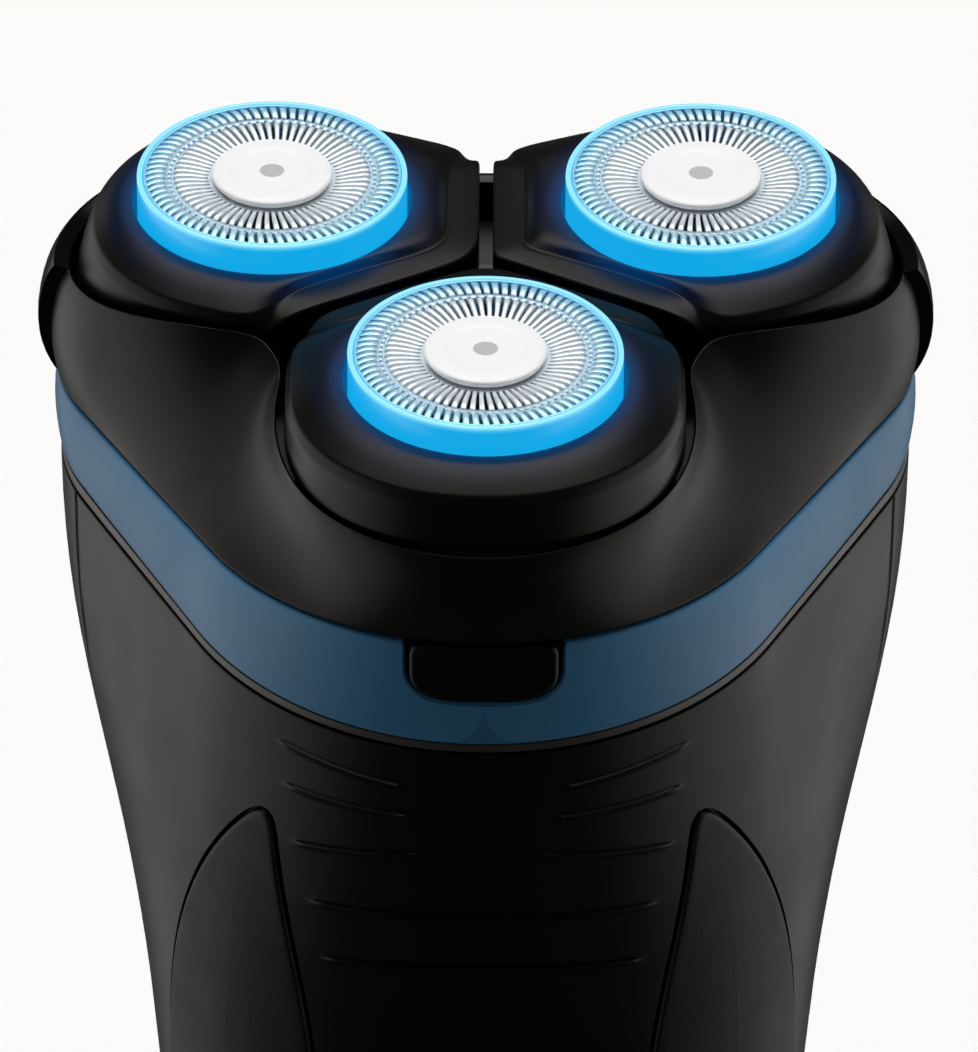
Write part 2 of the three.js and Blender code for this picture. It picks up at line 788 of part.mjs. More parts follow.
for (const unit of heads) {
  const { name, x, y } = unit;
  piece(`pod_${name}`, podGeometry(unit), 'satinBlack', head, x, y);
  piece(`pod_retainer_${name}`, retainerGeometry(unit), 'greyPlastic', head, x, y);
  piece(`guard_${name}`, guardGeometry(), 'steel', head, x, y);
  piece(`guard_ring_${name}`, guardRingGeometry(), 'ringBlue', head, x, y);
  piece(`guard_cap_${name}`, guardCapGeometry(), 'white', head, x, y);
  piece(`cutter_${name}`, cutterGeometry(), 'steel', head, x, y);
  piece(`drive_gear_${name}`, gearGeometry(driveTeeth, meshingAngle(unit), 2), 'white', head, x, y);
  piece(`spindle_${name}`, spindleGeometry(), 'steel', head, x, y);
  piece(`spindle_spring_${name}`, coilSpring(2.7, 0.22, 1.1, 2), 'steel', head, x, y, -20.4);
}

piece('skirt', skirtGeometry(), 'satinBlack', head);
piece('skirt_back', skirtBackGeometry(), 'glossBlack', head);
piece('head_frame', headFrameGeometry(), 'greyPlastic', head);
piece('latch_tongue', latchTongueGeometry(), 'greyPlastic', head);
piece('collar', collarGeometry(), 'collarBlue', head);
piece('hair_chamber', hairChamberGeometry(), 'greyPlastic', head);
piece('release_button', releaseButtonGeometry(), 'satinBlack', head);
const releaseSpring = coilSpring(1.2, 0.2, 2.3, 3).rotateX(Math.PI / 2);
piece('release_spring', releaseSpring, 'steel', head, 4.9, -22.7, -19.3);
piece('hinge_pin', rodAlongX(0.8, -8, 8), 'steel', head, 0, hingeAxis.y, hingeAxis.z);
piece('central_gear', centralGearGeometry(), 'brass', head);
piece('gear_plate', gearPlateGeometry(), 'greyPlastic', head);
piece('motor', motorGeometry(), 'steel', head);
screwPlaces.forEach(({ x, y }, i) => {
  piece(`gear_plate_screw_${i + 1}`, screwGeometry(), 'steel', head, x, y);
});

const ringAngles = steps(-Math.PI, Math.PI, 44).slice(0, 44);
const trim = handleWall([trimFoot, trimTop], ringAngles, -0.4, -2.6, true);
piece('neck_trim', trim, 'olive', shaver);
piece('front_shell', frontShellGeometry(), 'satinBlack', shaver);
piece('rear_shell', shellGeometry(0.4, 179.6), 'satinBlack', shaver);
piece('grip_left', gripGeometry(-1, 0), 'softBlack', shaver);
piece('grip_right', gripGeometry(1, 0), 'softBlack', shaver);
piece('power_button', powerButtonGeometry(), 'glossBlack', shaver);
piece('power_switch', switchGeometry(), 'greyPlastic', shaver);
piece('indicator_lens', lensBar(0, -16, -12), 'clear', shaver);
piece('circuit_board', block([-13, 13], [-9.6, -8.2], [14, 80]), 'circuitGreen', shaver);
piece('chassis', chassisGeometry(), 'greyPlastic', shaver);
piece('battery', rod(7.1, 18, 68, 24).translate(0, 2.2, 0), 'cellBlue', shaver);
piece('battery_tab_bottom', batteryTabGeometry(16.8), 'brass', shaver);
piece('battery_tab_top', batteryTabGeometry(68.5), 'brass', shaver);
piece('bottom_cap', bottomCapGeometry(), 'satinBlack', shaver);
piece('socket_shroud', socketGeometry(), 'greyPlastic', shaver);
piece('socket_pin_left', rod(0.6, 1.6, 8.6, 10), 'brass', shaver, -socketPin, 9);
piece('socket_pin_right', rod(0.6, 1.6, 8.6, 10), 'brass', shaver, socketPin, 9);

export default shaver;
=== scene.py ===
# The finished look of a cordless three-head rotary shaver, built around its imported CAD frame.
# Builders work in millimetres. Pieces of the shaving head are built in the head's own tilted
# frame, where Z = 0 is the plane of the guards' cutting faces and +Z is the way they face. The
# handle's pieces are built in the row frame. Angle -90 degrees is the front in both.
import json
import math
from types import SimpleNamespace

import bmesh
import bpy
import numpy as np
from mathutils import Matrix, Vector

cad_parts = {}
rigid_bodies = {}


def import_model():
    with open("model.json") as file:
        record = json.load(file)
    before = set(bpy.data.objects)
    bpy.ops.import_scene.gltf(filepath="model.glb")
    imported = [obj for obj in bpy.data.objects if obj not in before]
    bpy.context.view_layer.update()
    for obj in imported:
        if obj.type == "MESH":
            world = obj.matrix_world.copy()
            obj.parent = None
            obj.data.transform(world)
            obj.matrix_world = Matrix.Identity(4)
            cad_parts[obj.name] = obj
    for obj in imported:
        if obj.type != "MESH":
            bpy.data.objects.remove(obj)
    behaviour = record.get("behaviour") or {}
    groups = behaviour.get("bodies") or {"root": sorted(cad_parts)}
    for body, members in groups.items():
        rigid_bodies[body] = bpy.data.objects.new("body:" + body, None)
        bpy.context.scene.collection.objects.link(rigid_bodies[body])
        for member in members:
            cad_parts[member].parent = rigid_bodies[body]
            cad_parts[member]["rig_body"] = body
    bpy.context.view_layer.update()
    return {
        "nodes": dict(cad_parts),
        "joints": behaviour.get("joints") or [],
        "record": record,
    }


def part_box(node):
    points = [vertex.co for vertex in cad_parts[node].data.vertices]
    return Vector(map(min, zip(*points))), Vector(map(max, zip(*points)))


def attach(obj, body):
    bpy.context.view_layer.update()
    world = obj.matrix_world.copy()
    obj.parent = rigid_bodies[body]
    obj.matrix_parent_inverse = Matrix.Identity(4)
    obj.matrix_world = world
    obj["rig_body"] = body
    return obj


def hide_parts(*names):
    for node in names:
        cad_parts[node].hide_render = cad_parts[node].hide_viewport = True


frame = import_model()

MM = 0.001
JOINTS = {joint["name"]: joint for joint in frame["joints"]}
SLOT_OF = {part["node"]: part["material_slot"] for part in frame["record"]["subparts"]}

# ---- Driving dimensions --------------------------------------------------------------------

GEAR_DEPTH = 22.0           # the motor's joint lies this far under the guards' plane
RING_RADIUS = 10.0
SLEEVE_RADIUS = 10.3
POD_TOP, POD_CREASE, POD_FOOT = -2.1, -4.0, -7.8
POD_GAP = 0.5
POD_LEDGE = 2.3             # width of the ledge along a parting
SKIRT_FOOT = -16.6
BACK_PROUD = 0.9            # how far the back cover stands proud of the skirt
COLLAR_TOP = -16.9
NECK_LEVEL, NECK_SLOPE = -22.76, 0.108
COLLAR_WALL = 1.9
SHELL_WALL = 2.2
SHELL_FOOT = 7.9
CAP_TOP = 7.0
GAP = 0.3

REAR_POD = {"reach": 13.2, "side": 13.8, "flare": 1.2, "rim": 15.4, "rim_side": 15.4}
FRONT_POD = {"reach": 13.7, "side": 14.3, "flare": 0.3, "rim": 15.0, "rim_side": 15.9}
PARTINGS = {"front": (-150, -30), "right": (-30, 90), "left": (90, 210)}
CRISP, SOFT = 60, 14        # how sharply a pod's outline turns at a parting
RIM_CORE, RIM_BLEND = 18.9, 24  # the skirt's rim between its lobes, and how sharply they join
CHEEK_DEPTH = 2.4           # hollows of the skirt on both sides of its front lobe

INNER_SLATS, OUTER_SLATS = 66, 78
DOT_RADIUS = 0.9            # the plain dot on a guard's cap

FULL_TURN = 2 * math.pi


def head_matrix():
    axis = Vector(JOINTS["motor_spin"]["axis"]).normalized()
    centre = Vector(JOINTS["motor_spin"]["pos_m"]) + axis * GEAR_DEPTH * MM
    right = Vector((1, 0, 0))
    turn = Matrix((right, axis.cross(right), axis)).transposed().to_4x4()
    return Matrix.Translation(centre) @ turn


HEAD = head_matrix()
HANDLE = Matrix.Identity(4)
# A point on the head's hinge axis, in the head's frame.
HINGE = HEAD.inverted() @ Vector(JOINTS["head_open"]["pos_m"]) / MM


def cutting_unit(name):
    """One guard with its pod: its place in the head and the shape of its pod."""
    anchor = HEAD.inverted() @ Vector(JOINTS["cutter_spin_" + name]["pos_m"]) / MM
    pod = FRONT_POD if name == "front" else REAR_POD
    return SimpleNamespace(
        name=name, x=anchor.x, y=anchor.y, angle=math.atan2(anchor.y, anchor.x),
        partings=PARTINGS[name], place=HEAD @ Matrix.Translation((anchor.x * MM, anchor.y * MM, 0)),
        **pod,
    )


UNITS = [cutting_unit(name) for name in ("front", "right", "left")]

# ---- Shapes --------------------------------------------------------------------------------


def mix(a, b, share):
    return a + (b - a) * share


def smooth_step(value):
    t = np.clip(value, 0, 1)
    return t * t * (3 - 2 * t)


def turn_of(count):
    return np.linspace(0, FULL_TURN, count, endpoint=False)


def ring_xyz(angles, radius, z):
    """Points about the Z axis; radius and z may vary from angle to angle."""
    radius, z = np.broadcast_arrays(radius, z)
    return np.stack([radius * np.cos(angles), radius * np.sin(angles), z], axis=-1)


def around(sections, angles):
    """Turns (radius, height) outlines, one for each angle, into loops of points about Z."""
    return ring_xyz(np.asarray(angles)[:, None], sections[..., 0], sections[..., 1])


def rounded(corners, roundings, steps=4):
    """Closed outlines with their corners rounded off. Corners has the shape (..., count, 2)."""
    corners = np.asarray(corners, float)
    arcs = []
    t = np.linspace(0, 1, steps + 1)[:, None]
    for i, rounding in enumerate(roundings):
        here = corners[..., i, :]
        if rounding == 0:
            arcs.append(here[..., None, :])
            continue
        ends = []
        for other in (corners[..., i - 1, :], corners[..., (i + 1) % corners.shape[-2], :]):
            way = other - here
            length = np.maximum(np.linalg.norm(way, axis=-1, keepdims=True), 1e-9)
            ends.append(here + way * np.minimum(rounding / length, 0.48))
        start, end = (point[..., None, :] for point in ends)
        arcs.append((1 - t) ** 2 * start + 2 * t * (1 - t) * here[..., None, :] + t * t * end)
    return np.concatenate(arcs, axis=-2)


def skin(loops, ring=True, caps=True):
    """A surface through loops of points. In a ring, the last loop joins the first."""
    loops = np.asarray(loops, float)
    count, size = loops.shape[:2]
    faces = []
    for i in range(count if ring else count - 1):
        here, after = i * size, (i + 1) % count * size
        for j in range(size):
            k = (j + 1) % size
            faces.append((here + j, here + k, after + k, after + j))
    if caps and not ring:
        faces.append(tuple(range(size))[::-1])
        faces.append(tuple(range((count - 1) * size, count * size)))
    return loops.reshape(-1, 3), faces


def swept(corners, roundings, angles, steps=4, ring=True):
    """A solid about Z from an outline of (radius, height) corners, which may vary by angle."""
    outlines = [np.stack(np.broadcast_arrays(*corner, angles)[:2], axis=-1) for corner in corners]
    sections = rounded(np.stack(outlines, axis=1), roundings, steps)
    return skin(around(sections, angles), ring)


def turned(corners, roundings, segments=96, steps=3):
    """A round solid about Z from an outline of (radius, height) corners."""
    return swept(corners, roundings, turn_of(segments), steps)


def rod(radius, low, high, edge=0.15, segments=40):
    return turned([[0, low], [radius, low], [radius, high], [0, high]], [0, edge, edge, 0], segments)


def block(x, y, z, edge=0.2):
    """A box with rounded upright edges and small chamfers above and below."""
    def outline(inset, level):
        corners = [[x[0] + inset, y[0] + inset], [x[1] - inset, y[0] + inset],
                   [x[1] - inset, y[1] - inset], [x[0] + inset, y[1] - inset]]
        flat = rounded(corners, [edge] * 4, 3)
        return np.column_stack([flat, np.full(len(flat), level)])

    small = edge * 0.6
    loops = [outline(small, z[0]), outline(0, z[0] + small), outline(0, z[1] - small),
             outline(small, z[1])]
    return skin(loops, ring=False)


def moved(part, matrix):
    """A part's points put through a matrix whose lengths are millimetres."""
    points, faces = part
    turn = np.array(matrix.to_3x3())
    return points @ turn.T + np.array(matrix.translation), faces


def along_x(part):
    return moved(part, Matrix.Rotation(math.pi / 2, 4, "Y"))


def facing_front(part, z):
    """Turns a part's Z axis to the front, at a height."""
    return moved(part, Matrix.Translation((0, 0, z)) @ Matrix.Rotation(math.pi / 2, 4, "X"))


def at(part, x=0.0, y=0.0, z=0.0, turn=0.0):
    return moved(part, Matrix.Translation((x, y, z)) @ Matrix.Rotation(turn, 4, "Z"))


def pierced(top, bottom, kept):
    """A plate between two grids of points that close on themselves in columns.

    kept says for each cell whether it is material; every edge of the material gets a wall."""
    rows, columns = top.shape[:2]
    points = np.concatenate([top.reshape(-1, 3), bottom.reshape(-1, 3)])
    under = rows * columns
    faces = []
    for i in range(rows - 1):
        for j in range(columns):
            if not kept[i, j]:
                continue
            k = (j + 1) % columns
            a, b, c, d = i * columns + j, i * columns + k, (i + 1) * columns + k, (i + 1) * columns + j
            faces.append((a, b, c, d))
            faces.append((under + d, under + c, under + b, under + a))
            if i == 0 or not kept[i - 1, j]:
                faces.append((b, a, under + a, under + b))
            if i == rows - 2 or not kept[i + 1, j]:
                faces.append((d, c, under + c, under + d))
            if not kept[i, j - 1]:
                faces.append((a, d, under + d, under + a))
            if not kept[i, k]:
                faces.append((c, b, under + b, under + c))
    return points, faces


def lengths_along(points):
    """Distance from the first point of a line to each of its points."""
    return np.concatenate([[0], np.cumsum(np.linalg.norm(np.diff(points, axis=0), axis=1))])


def plate(outline, holes, low, high, bevel=0.25):
    """A flat plate with holes and rounded edges; the outlines are lists of (x, y)."""
    curve = bpy.data.curves.new("plate", "CURVE")
    curve.dimensions = "2D"
    curve.fill_mode = "BOTH"
    curve.extrude = (high - low) / 2 - bevel
    curve.bevel_depth = bevel
    curve.bevel_resolution = 2
    curve.offset = -bevel
    for ring in [outline, *holes]:
        spline = curve.splines.new("POLY")
        spline.points.add(len(ring) - 1)
        for point, (x, y) in zip(spline.points, ring):
            point.co = (x, y, 0, 1)
        spline.use_cyclic_u = True
    holder = bpy.data.objects.new("plate", curve)
    mesh = holder.to_mesh()
    points = np.array([vertex.co for vertex in mesh.vertices]) + (0, 0, (low + high) / 2)
    faces = [tuple(polygon.vertices) for polygon in mesh.polygons]
    holder.to_mesh_clear()
    bpy.data.objects.remove(holder)
    bpy.data.curves.remove(curve)
    return points, faces


def flat_outline(theta, radius):
    return np.column_stack([radius * np.cos(theta), radius * np.sin(theta)])


def circle(radius, x=0.0, y=0.0, count=64):
    return flat_outline(turn_of(count), radius) + (x, y)


# ---- Making objects ------------------------------------------------------------------------


def new_mesh(name, parts):
    """One mesh in metres from parts in millimetres, with its faces turned outwards."""
    mesh = bpy.data.meshes.new(name)
    points, faces = [], []
    start = 0
    for part_points, part_faces in parts:
        points.append(np.asarray(part_points) * MM)
        faces.extend(tuple(start + i for i in face) for face in part_faces)
        start += len(part_points)
    mesh.from_pydata(np.concatenate(points).tolist(), [], faces)
    work = bmesh.new()
    work.from_mesh(mesh)
    bmesh.ops.remove_doubles(work, verts=work.verts, dist=0.001 * MM)
    bmesh.ops.dissolve_degenerate(work, edges=work.edges, dist=0.0005 * MM)
    bmesh.ops.recalc_face_normals(work, faces=work.faces)
    work.to_mesh(mesh)
    work.free()
    return mesh


def new_object(name, mesh, place):
    made = bpy.data.objects.new(name, mesh)
    bpy.context.scene.collection.objects.link(made)
    made.matrix_world = place
    return made


def carve(made, cutters):
    """Cuts closed parts, given in millimetres in the object's frame, out of an object."""
    tools = []
    for number, cutter in enumerate(cutters):
        tool = new_object(f"cutter_{number}", new_mesh("cutter", [cutter]), made.matrix_world)
        cut = made.modifiers.new("cut", "BOOLEAN")
        cut.operation = "DIFFERENCE"
        cut.solver = "EXACT"
        cut.object = tool
        tools.append(tool)
    bpy.context.view_layer.update()
    shaped = made.evaluated_get(bpy.context.evaluated_depsgraph_get())
    before = made.data
    made.data = bpy.data.meshes.new_from_object(shaped)
    made.modifiers.clear()
    bpy.data.meshes.remove(before)
    for tool in tools:
        bpy.data.objects.remove(tool)


def stand_in(node, parts, place=HEAD, crisp=32, cutters=()):
    """A detailed piece that is shown in place of a CAD node, on the same body."""
    made = new_object("fine_" + node, new_mesh("fine_" + node, parts), place)
    if cutters:
        carve(made, cutters)
    made.data.shade_smooth()
    made.data.set_sharp_from_angle(angle=math.radians(crisp))
    made.data.materials.clear()
    made.data.materials.append(finish(SLOT_OF[node]))
    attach(made, frame["nodes"][node]["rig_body"])
    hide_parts(node)
    return made


# ---- Materials -----------------------------------------------------------------------------


class Nodes:
    """A node tree under construction. An input is a number or another node's output."""

    def __init__(self, tree):
        self.tree = tree

    def add(self, kind, inputs=None, **settings):
        made = self.tree.nodes.new("ShaderNode" + kind)
        for name, value in settings.items():
            setattr(made, name, value)
        for name, value in (inputs or {}).items():
            if isinstance(value, bpy.types.NodeSocket):
                self.tree.links.new(value, made.inputs[name])
            else:
                made.inputs[name].default_value = value
        return made

    def math(self, operation, a, b=0.0):
        return self.add("Math", {0: a, 1: b}, operation=operation).outputs[0]

    def spread(self, factor, low, high, start=0.3, end=0.7, **settings):
        inputs = {"Value": factor, "From Min": start, "From Max": end, "To Min": low, "To Max": high}
        return self.add("MapRange", inputs, **settings).outputs["Result"]

    def between(self, value, start, end, **settings):
        """0 to 1, as a value goes from start to end."""
        return self.spread(value, 0.0, 1.0, start, end, **settings)


class Paint(Nodes):
    """A material under construction: its node tree and its principled shader."""

    def __init__(self, material, **values):
        material.use_nodes = True
        super().__init__(material.node_tree)
        self.material = material
        self.shader = self.tree.nodes["Principled BSDF"]
        for socket, value in values.items():
            self.shader.inputs[socket.replace("_", " ")].default_value = value
        self.place = self.add("TexCoord").outputs["Object"]

    @classmethod
    def fresh(cls, name, colour, roughness, **values):
        return cls(bpy.data.materials.new(name), Base_Color=(*colour, 1), Roughness=roughness, **values)

    def noise(self, scale, detail=3.0, place=None):
        texture = self.add("TexNoise", {"Vector": place or self.place, "Scale": scale, "Detail": detail})
        return texture.outputs["Fac"]

    def ramp(self, factor, *stops):
        made = self.add("ValToRGB", {"Fac": factor})
        elements = made.color_ramp.elements
        while len(elements) < len(stops):
            elements.new(1.0)
        for element, (position, colour) in zip(elements, stops):
            element.position = position
            element.color = (*colour, 1)
        return made.outputs["Color"]

    def feed(self, socket, value):
        self.tree.links.new(value, self.shader.inputs[socket])

    def tone(self, factor, *stops):
        """Colours the surface along a ramp."""
        self.feed("Base Color", self.ramp(factor, *stops))

    def drift(self, factor, dark, light):
        """Lets the colour drift between two shades."""
        self.tone(factor, (0.3, dark), (0.7, light))

    def polish(self, factor, low, high):
        self.feed("Roughness", self.spread(factor, low, high))

    def relief(self, height, depth):
        """Raises and lowers the surface by a depth in millimetres."""
        made = self.add("Bump", {"Height": height, "Distance": depth * MM, "Strength": 1.0})
        self.feed("Normal", made.outputs["Normal"])

    def polar(self):
        """Angle about the piece's own Z axis, and distance from it in millimetres."""
        parts = self.add("SeparateXYZ", {"Vector": self.place}).outputs
        angle = self.math("ARCTAN2", parts["Y"], parts["X"])
        square = self.math("ADD", self.math("POWER", parts["X"], 2.0), self.math("POWER", parts["Y"], 2.0))
        return angle, self.math("MULTIPLY", self.math("SQRT", square), 1 / MM)


def shades(colour, low, high):
    return tuple(c * low for c in colour), tuple(c * high for c in colour)


def moulded(name, colour, roughness, grain=0.004, grain_scale=5200.0, spread=0.04, **values):
    """Moulded plastic: a fine spark-eroded grain, and slow drifts of tone and polish."""
    paint = Paint.fresh(name, colour, roughness, **values)
    paint.drift(paint.noise(45.0), *shades(colour, 0.8, 1.25))
    paint.polish(paint.noise(120.0), roughness - spread, roughness + spread)
    paint.relief(paint.noise(grain_scale, 2.0), grain)
    return paint.material


def satin_black():
    return moulded("satin black", (0.0016, 0.0015, 0.0014), 0.34, Specular_IOR_Level=0.17,
                   Specular_Tint=(1.0, 0.94, 0.86, 1))


def painted_glow_black():
    """The pods' satin black, with a painted glow: the blue light of the ring painted on as emission."""
    paint = Paint(satin_black(), Emission_Strength=1.0)
    _, radius = paint.polar()
    # Painted glow of the ring: emission, strongest next to the ring and fading away from it.
    painted_ring_glow = paint.ramp(
        paint.between(radius, RING_RADIUS, RING_RADIUS + 4.5),
        (0.0, (0.0, 0.09, 0.27)), (0.12, (0.0, 0.03, 0.11)), (0.35, (0.0, 0.004, 0.02)), (0.7, (0, 0, 0)),
    )
    paint.feed("Emission Color", painted_ring_glow)
    return paint.material


def gloss_black():
    return moulded("gloss black", (0.001, 0.001, 0.001), 0.12, 0.002, 700.0, 0.03, Specular_IOR_Level=0.2)


def soft_grip():
    """Rubber with a very fine dimpled texture."""
    paint = Paint.fresh("soft grip", (0.003, 0.0028, 0.0026), 0.5, Specular_IOR_Level=0.2)
    paint.drift(paint.noise(70.0), (0.0022, 0.0021, 0.0019), (0.0036, 0.0033, 0.003))
    paint.polish(paint.noise(260.0), 0.47, 0.54)
    dimples = paint.add("TexVoronoi", {"Vector": paint.place, "Scale": 1900.0}).outputs["Distance"]
    paint.relief(paint.math("SUBTRACT", dimples, paint.noise(4200.0, 2.0)), 0.008)
    return paint.material


def collar_blue():
    """Satin steel-blue lacquer with a very fine flake in it."""
    paint = Paint.fresh("collar blue", (0.034, 0.155, 0.3), 0.4, Specular_IOR_Level=0.3)
    flake = paint.noise(6000.0, 2.0)
    paint.tone(flake, (0.32, (0.033, 0.15, 0.29)), (0.68, (0.037, 0.165, 0.315)))
    paint.polish(paint.noise(150.0), 0.36, 0.44)
    paint.relief(flake, 0.0015)
    return paint.material


def ring_blue():
    """A bright blue ring of translucent plastic with a painted glow, and a painted highlight that makes it
    paler along its lip.
    """
    paint = Paint.fresh("ring blue", (0.0, 0.1, 0.2), 0.25, Coat_Weight=0.2, Emission_Strength=0.95)
    height = paint.add("SeparateXYZ", {"Vector": paint.place}).outputs["Z"]
    # Painted glow as emission, paler towards the top: a painted highlight along the lip.
    painted_glow_and_lip_highlight = paint.ramp(
        paint.between(height, -0.45 * MM, 0.0),
        (0.0, (0.006, 0.4, 0.8)), (0.55, (0.06, 0.55, 0.9)), (1.0, (0.32, 0.8, 1.0)),
    )
    paint.feed("Emission Color", painted_glow_and_lip_highlight)
    paint.drift(paint.noise(180.0), (0.0, 0.09, 0.18), (0.0, 0.11, 0.22))
    paint.relief(paint.noise(900.0, 2.0), 0.002)
    return paint.material


def cap_white():
    """White plastic with a plain grey dot in the middle."""
    paint = Paint.fresh("cap white", (0.84, 0.84, 0.85), 0.38)
    _, radius = paint.polar()
    dot = paint.between(radius, DOT_RADIUS - 0.04, DOT_RADIUS + 0.04)
    paint.tone(dot, (0.0, (0.5, 0.51, 0.52)), (1.0, (0.93, 0.93, 0.945)))
    paint.polish(paint.noise(300.0), 0.33, 0.43)
    paint.relief(paint.noise(5200.0, 2.0), 0.002)
    return paint.material


def guard_steel():
    """Ground steel, with the blue light of the ring around it painted into its colour towards its edge."""
    paint = Paint.fresh("guard steel", (0.82, 0.93, 1.0), 0.34, Metallic=0.45)
    _, radius = paint.polar()
    fine = paint.spread(paint.noise(2200.0, 2.0), -0.06, 0.06)
    # Painted blue light of the ring: the colour turns blue towards the edge.
    paint.tone(
        paint.math("ADD", paint.between(radius, 6.6, 9.6), fine),
        (0.0, (0.86, 0.93, 0.98)), (0.45, (0.66, 0.88, 1.0)), (1.0, (0.3, 0.74, 1.0)),
    )
    paint.polish(paint.noise(900.0), 0.28, 0.42)
    return paint.material


def cutter_steel():
    """Steel ground in circles about the piece's own axis."""
    colour, roughness = (0.2, 0.24, 0.3), 0.35
    paint = Paint.fresh("cutter steel", colour, roughness, Metallic=1.0)
    angle, radius = paint.polar()
    place = paint.add("CombineXYZ", {"X": paint.math("MULTIPLY", angle, 2.0), "Y": radius, "Z": 0.0})
    scratches = paint.noise(14.0, 4.0, place.outputs["Vector"])
    paint.drift(scratches, *shades(colour, 0.86, 1.1))
    paint.polish(scratches, roughness - 0.07, roughness + 0.09)
    paint.relief(scratches, 0.003)
    return paint.material


def spring_steel():
    paint = Paint.fresh("spring steel", (0.5, 0.51, 0.53), 0.28, Metallic=1.0)
    paint.polish(paint.noise(2400.0), 0.22, 0.36)
    return paint.material


def brass():
    paint = Paint.fresh("brass", (0.7, 0.5, 0.2), 0.3, Metallic=1.0)
    paint.drift(paint.noise(160.0), (0.6, 0.41, 0.15), (0.78, 0.56, 0.25))
    paint.polish(paint.noise(700.0), 0.24, 0.4)
    return paint.material


def trim_dark():
    return moulded("dark trim", (0.034, 0.032, 0.026), 0.38, Specular_IOR_Level=0.4)


def inner_grey():
    return moulded("inner grey", (0.05, 0.053, 0.057), 0.5, 0.01, 2600.0, 0.06)


def gear_white():
    return moulded("acetal", (0.72, 0.71, 0.67), 0.42, 0.004, 1800.0, 0.05)


def circuit_green():
    """Solder mask over copper tracks."""
    paint = Paint.fresh("circuit board", (0.02, 0.12, 0.05), 0.32)
    tracks = paint.add("TexBrick", {"Vector": paint.place, "Scale": 260.0, "Mortar Size": 0.03})
    paint.tone(tracks.outputs["Fac"], (0.4, (0.015, 0.1, 0.04)), (0.6, (0.05, 0.22, 0.09)))
    paint.relief(tracks.outputs["Fac"], 0.03)
    return paint.material


def cell_wrap():
    return moulded("cell wrap", (0.03, 0.09, 0.25), 0.3, 0.02, 240.0, 0.05, Coat_Weight=0.3)


def lens_clear():
    return moulded("light pipe", (0.42, 0.5, 0.55), 0.16, 0.002, 900.0, 0.03, Coat_Weight=0.5)


# A finish for each material slot of the record, and for the pods a satin black with the ring's glow painted
# on.
FINISHES = {make.__name__: make for make in (
    satin_black, painted_glow_black, gloss_black, soft_grip, collar_blue, ring_blue, cap_white, guard_steel,
    cutter_steel, spring_steel, brass, trim_dark, inner_grey, gear_white, circuit_green, cell_wrap,
    lens_clear,
)}
made_finishes = {}


def finish(name):
    if name not in made_finishes:
        made_finishes[name] = FINISHES[name]()
    return made_finishes[name]


# ---- Outlines of the head, all polar about the motor's axis --------------------------------


def around_circles(*circles):
    """Radius of the smallest convex outline around some circles (x, y, radius)."""
    normals = np.radians(np.arange(-180, 180, 0.5))
    reach = np.max([x * np.cos(normals) + y * np.sin(normals) + r for x, y, r in circles], axis=0)

    def radius(theta):
        lean = np.cos(np.asarray(theta)[..., None] - normals)
        return np.where(lean > 0.05, reach / np.maximum(lean, 0.05), np.inf).min(axis=-1)

    return radius


collar_top_outline = around_circles((0, -7.6, 22.8), (17.6, 7, 14.4), (-17.6, 7, 14.4))
neck_outline = around_circles((0, -5.6, 24.1), (16.8, 6, 15), (-16.8, 6, 15))
skirt_middle_outline = around_circles((0, -16.2, 15.8), (16.4, 6.6, 16), (-16.4, 6.6, 16))


def near(theta, centre, width):
    """1 at an angle in degrees, fading to 0 over a width in degrees."""
    away = theta - math.radians(centre)
    away = np.arctan2(np.sin(away), np.cos(away))
    return np.exp(-((away / math.radians(width)) ** 2))


def cheeks(theta, angle, width):
    """1 at an angle to either side of the front, fading to 0 over a width, in degrees."""
    return near(theta, -90 - angle, width) + near(theta, -90 + angle, width)


def skirt_rim_radius(theta):
    """The top edge of the skirt, which runs around the pods."""
    total = np.full(np.shape(theta), RIM_CORE ** RIM_BLEND)
    for unit in UNITS:
        along = unit.x * np.cos(theta) + unit.y * np.sin(theta)
        across = unit.x * np.sin(theta) - unit.y * np.cos(theta)
        chord = unit.rim * np.sqrt(np.maximum(1 - (across / unit.rim_side) ** 2, 0))
        meets = (np.abs(across) < unit.rim_side) & (along > 0)
        total = total + np.where(meets, (along + chord) ** RIM_BLEND, 0)
    return total ** (1 / RIM_BLEND)


def skirt_rim_level(theta):
    return POD_FOOT + 4 * cheeks(theta, 66, 24) - 0.6 * near(theta, 90, 22)


def skirt_radius(theta, share):
    """Outer radius of the skirt, from its rim (share 0) to its foot (share 1)."""
    rim = skirt_rim_radius(theta)
    foot = collar_top_outline(theta)
    middle = skirt_middle_outline(theta) - CHEEK_DEPTH * cheeks(theta, 56, 19)
    pull = 2 * middle - (rim + foot) / 2
    return (1 - share) ** 2 * rim + 2 * share * (1 - share) * pull + share ** 2 * foot


def skirt_level(theta, share):
    return mix(skirt_rim_level(theta), SKIRT_FOOT, share)


def collar_foot_level(theta, radius):
    return NECK_LEVEL + NECK_SLOPE * radius * np.sin(theta)


def collar_radius(theta, share):
    bulge = 1.2 * share * (1 - share)
    return mix(collar_top_outline(theta), neck_outline(theta), share) + bulge


# ---- Guards and pods -----------------------------------------------------------------------


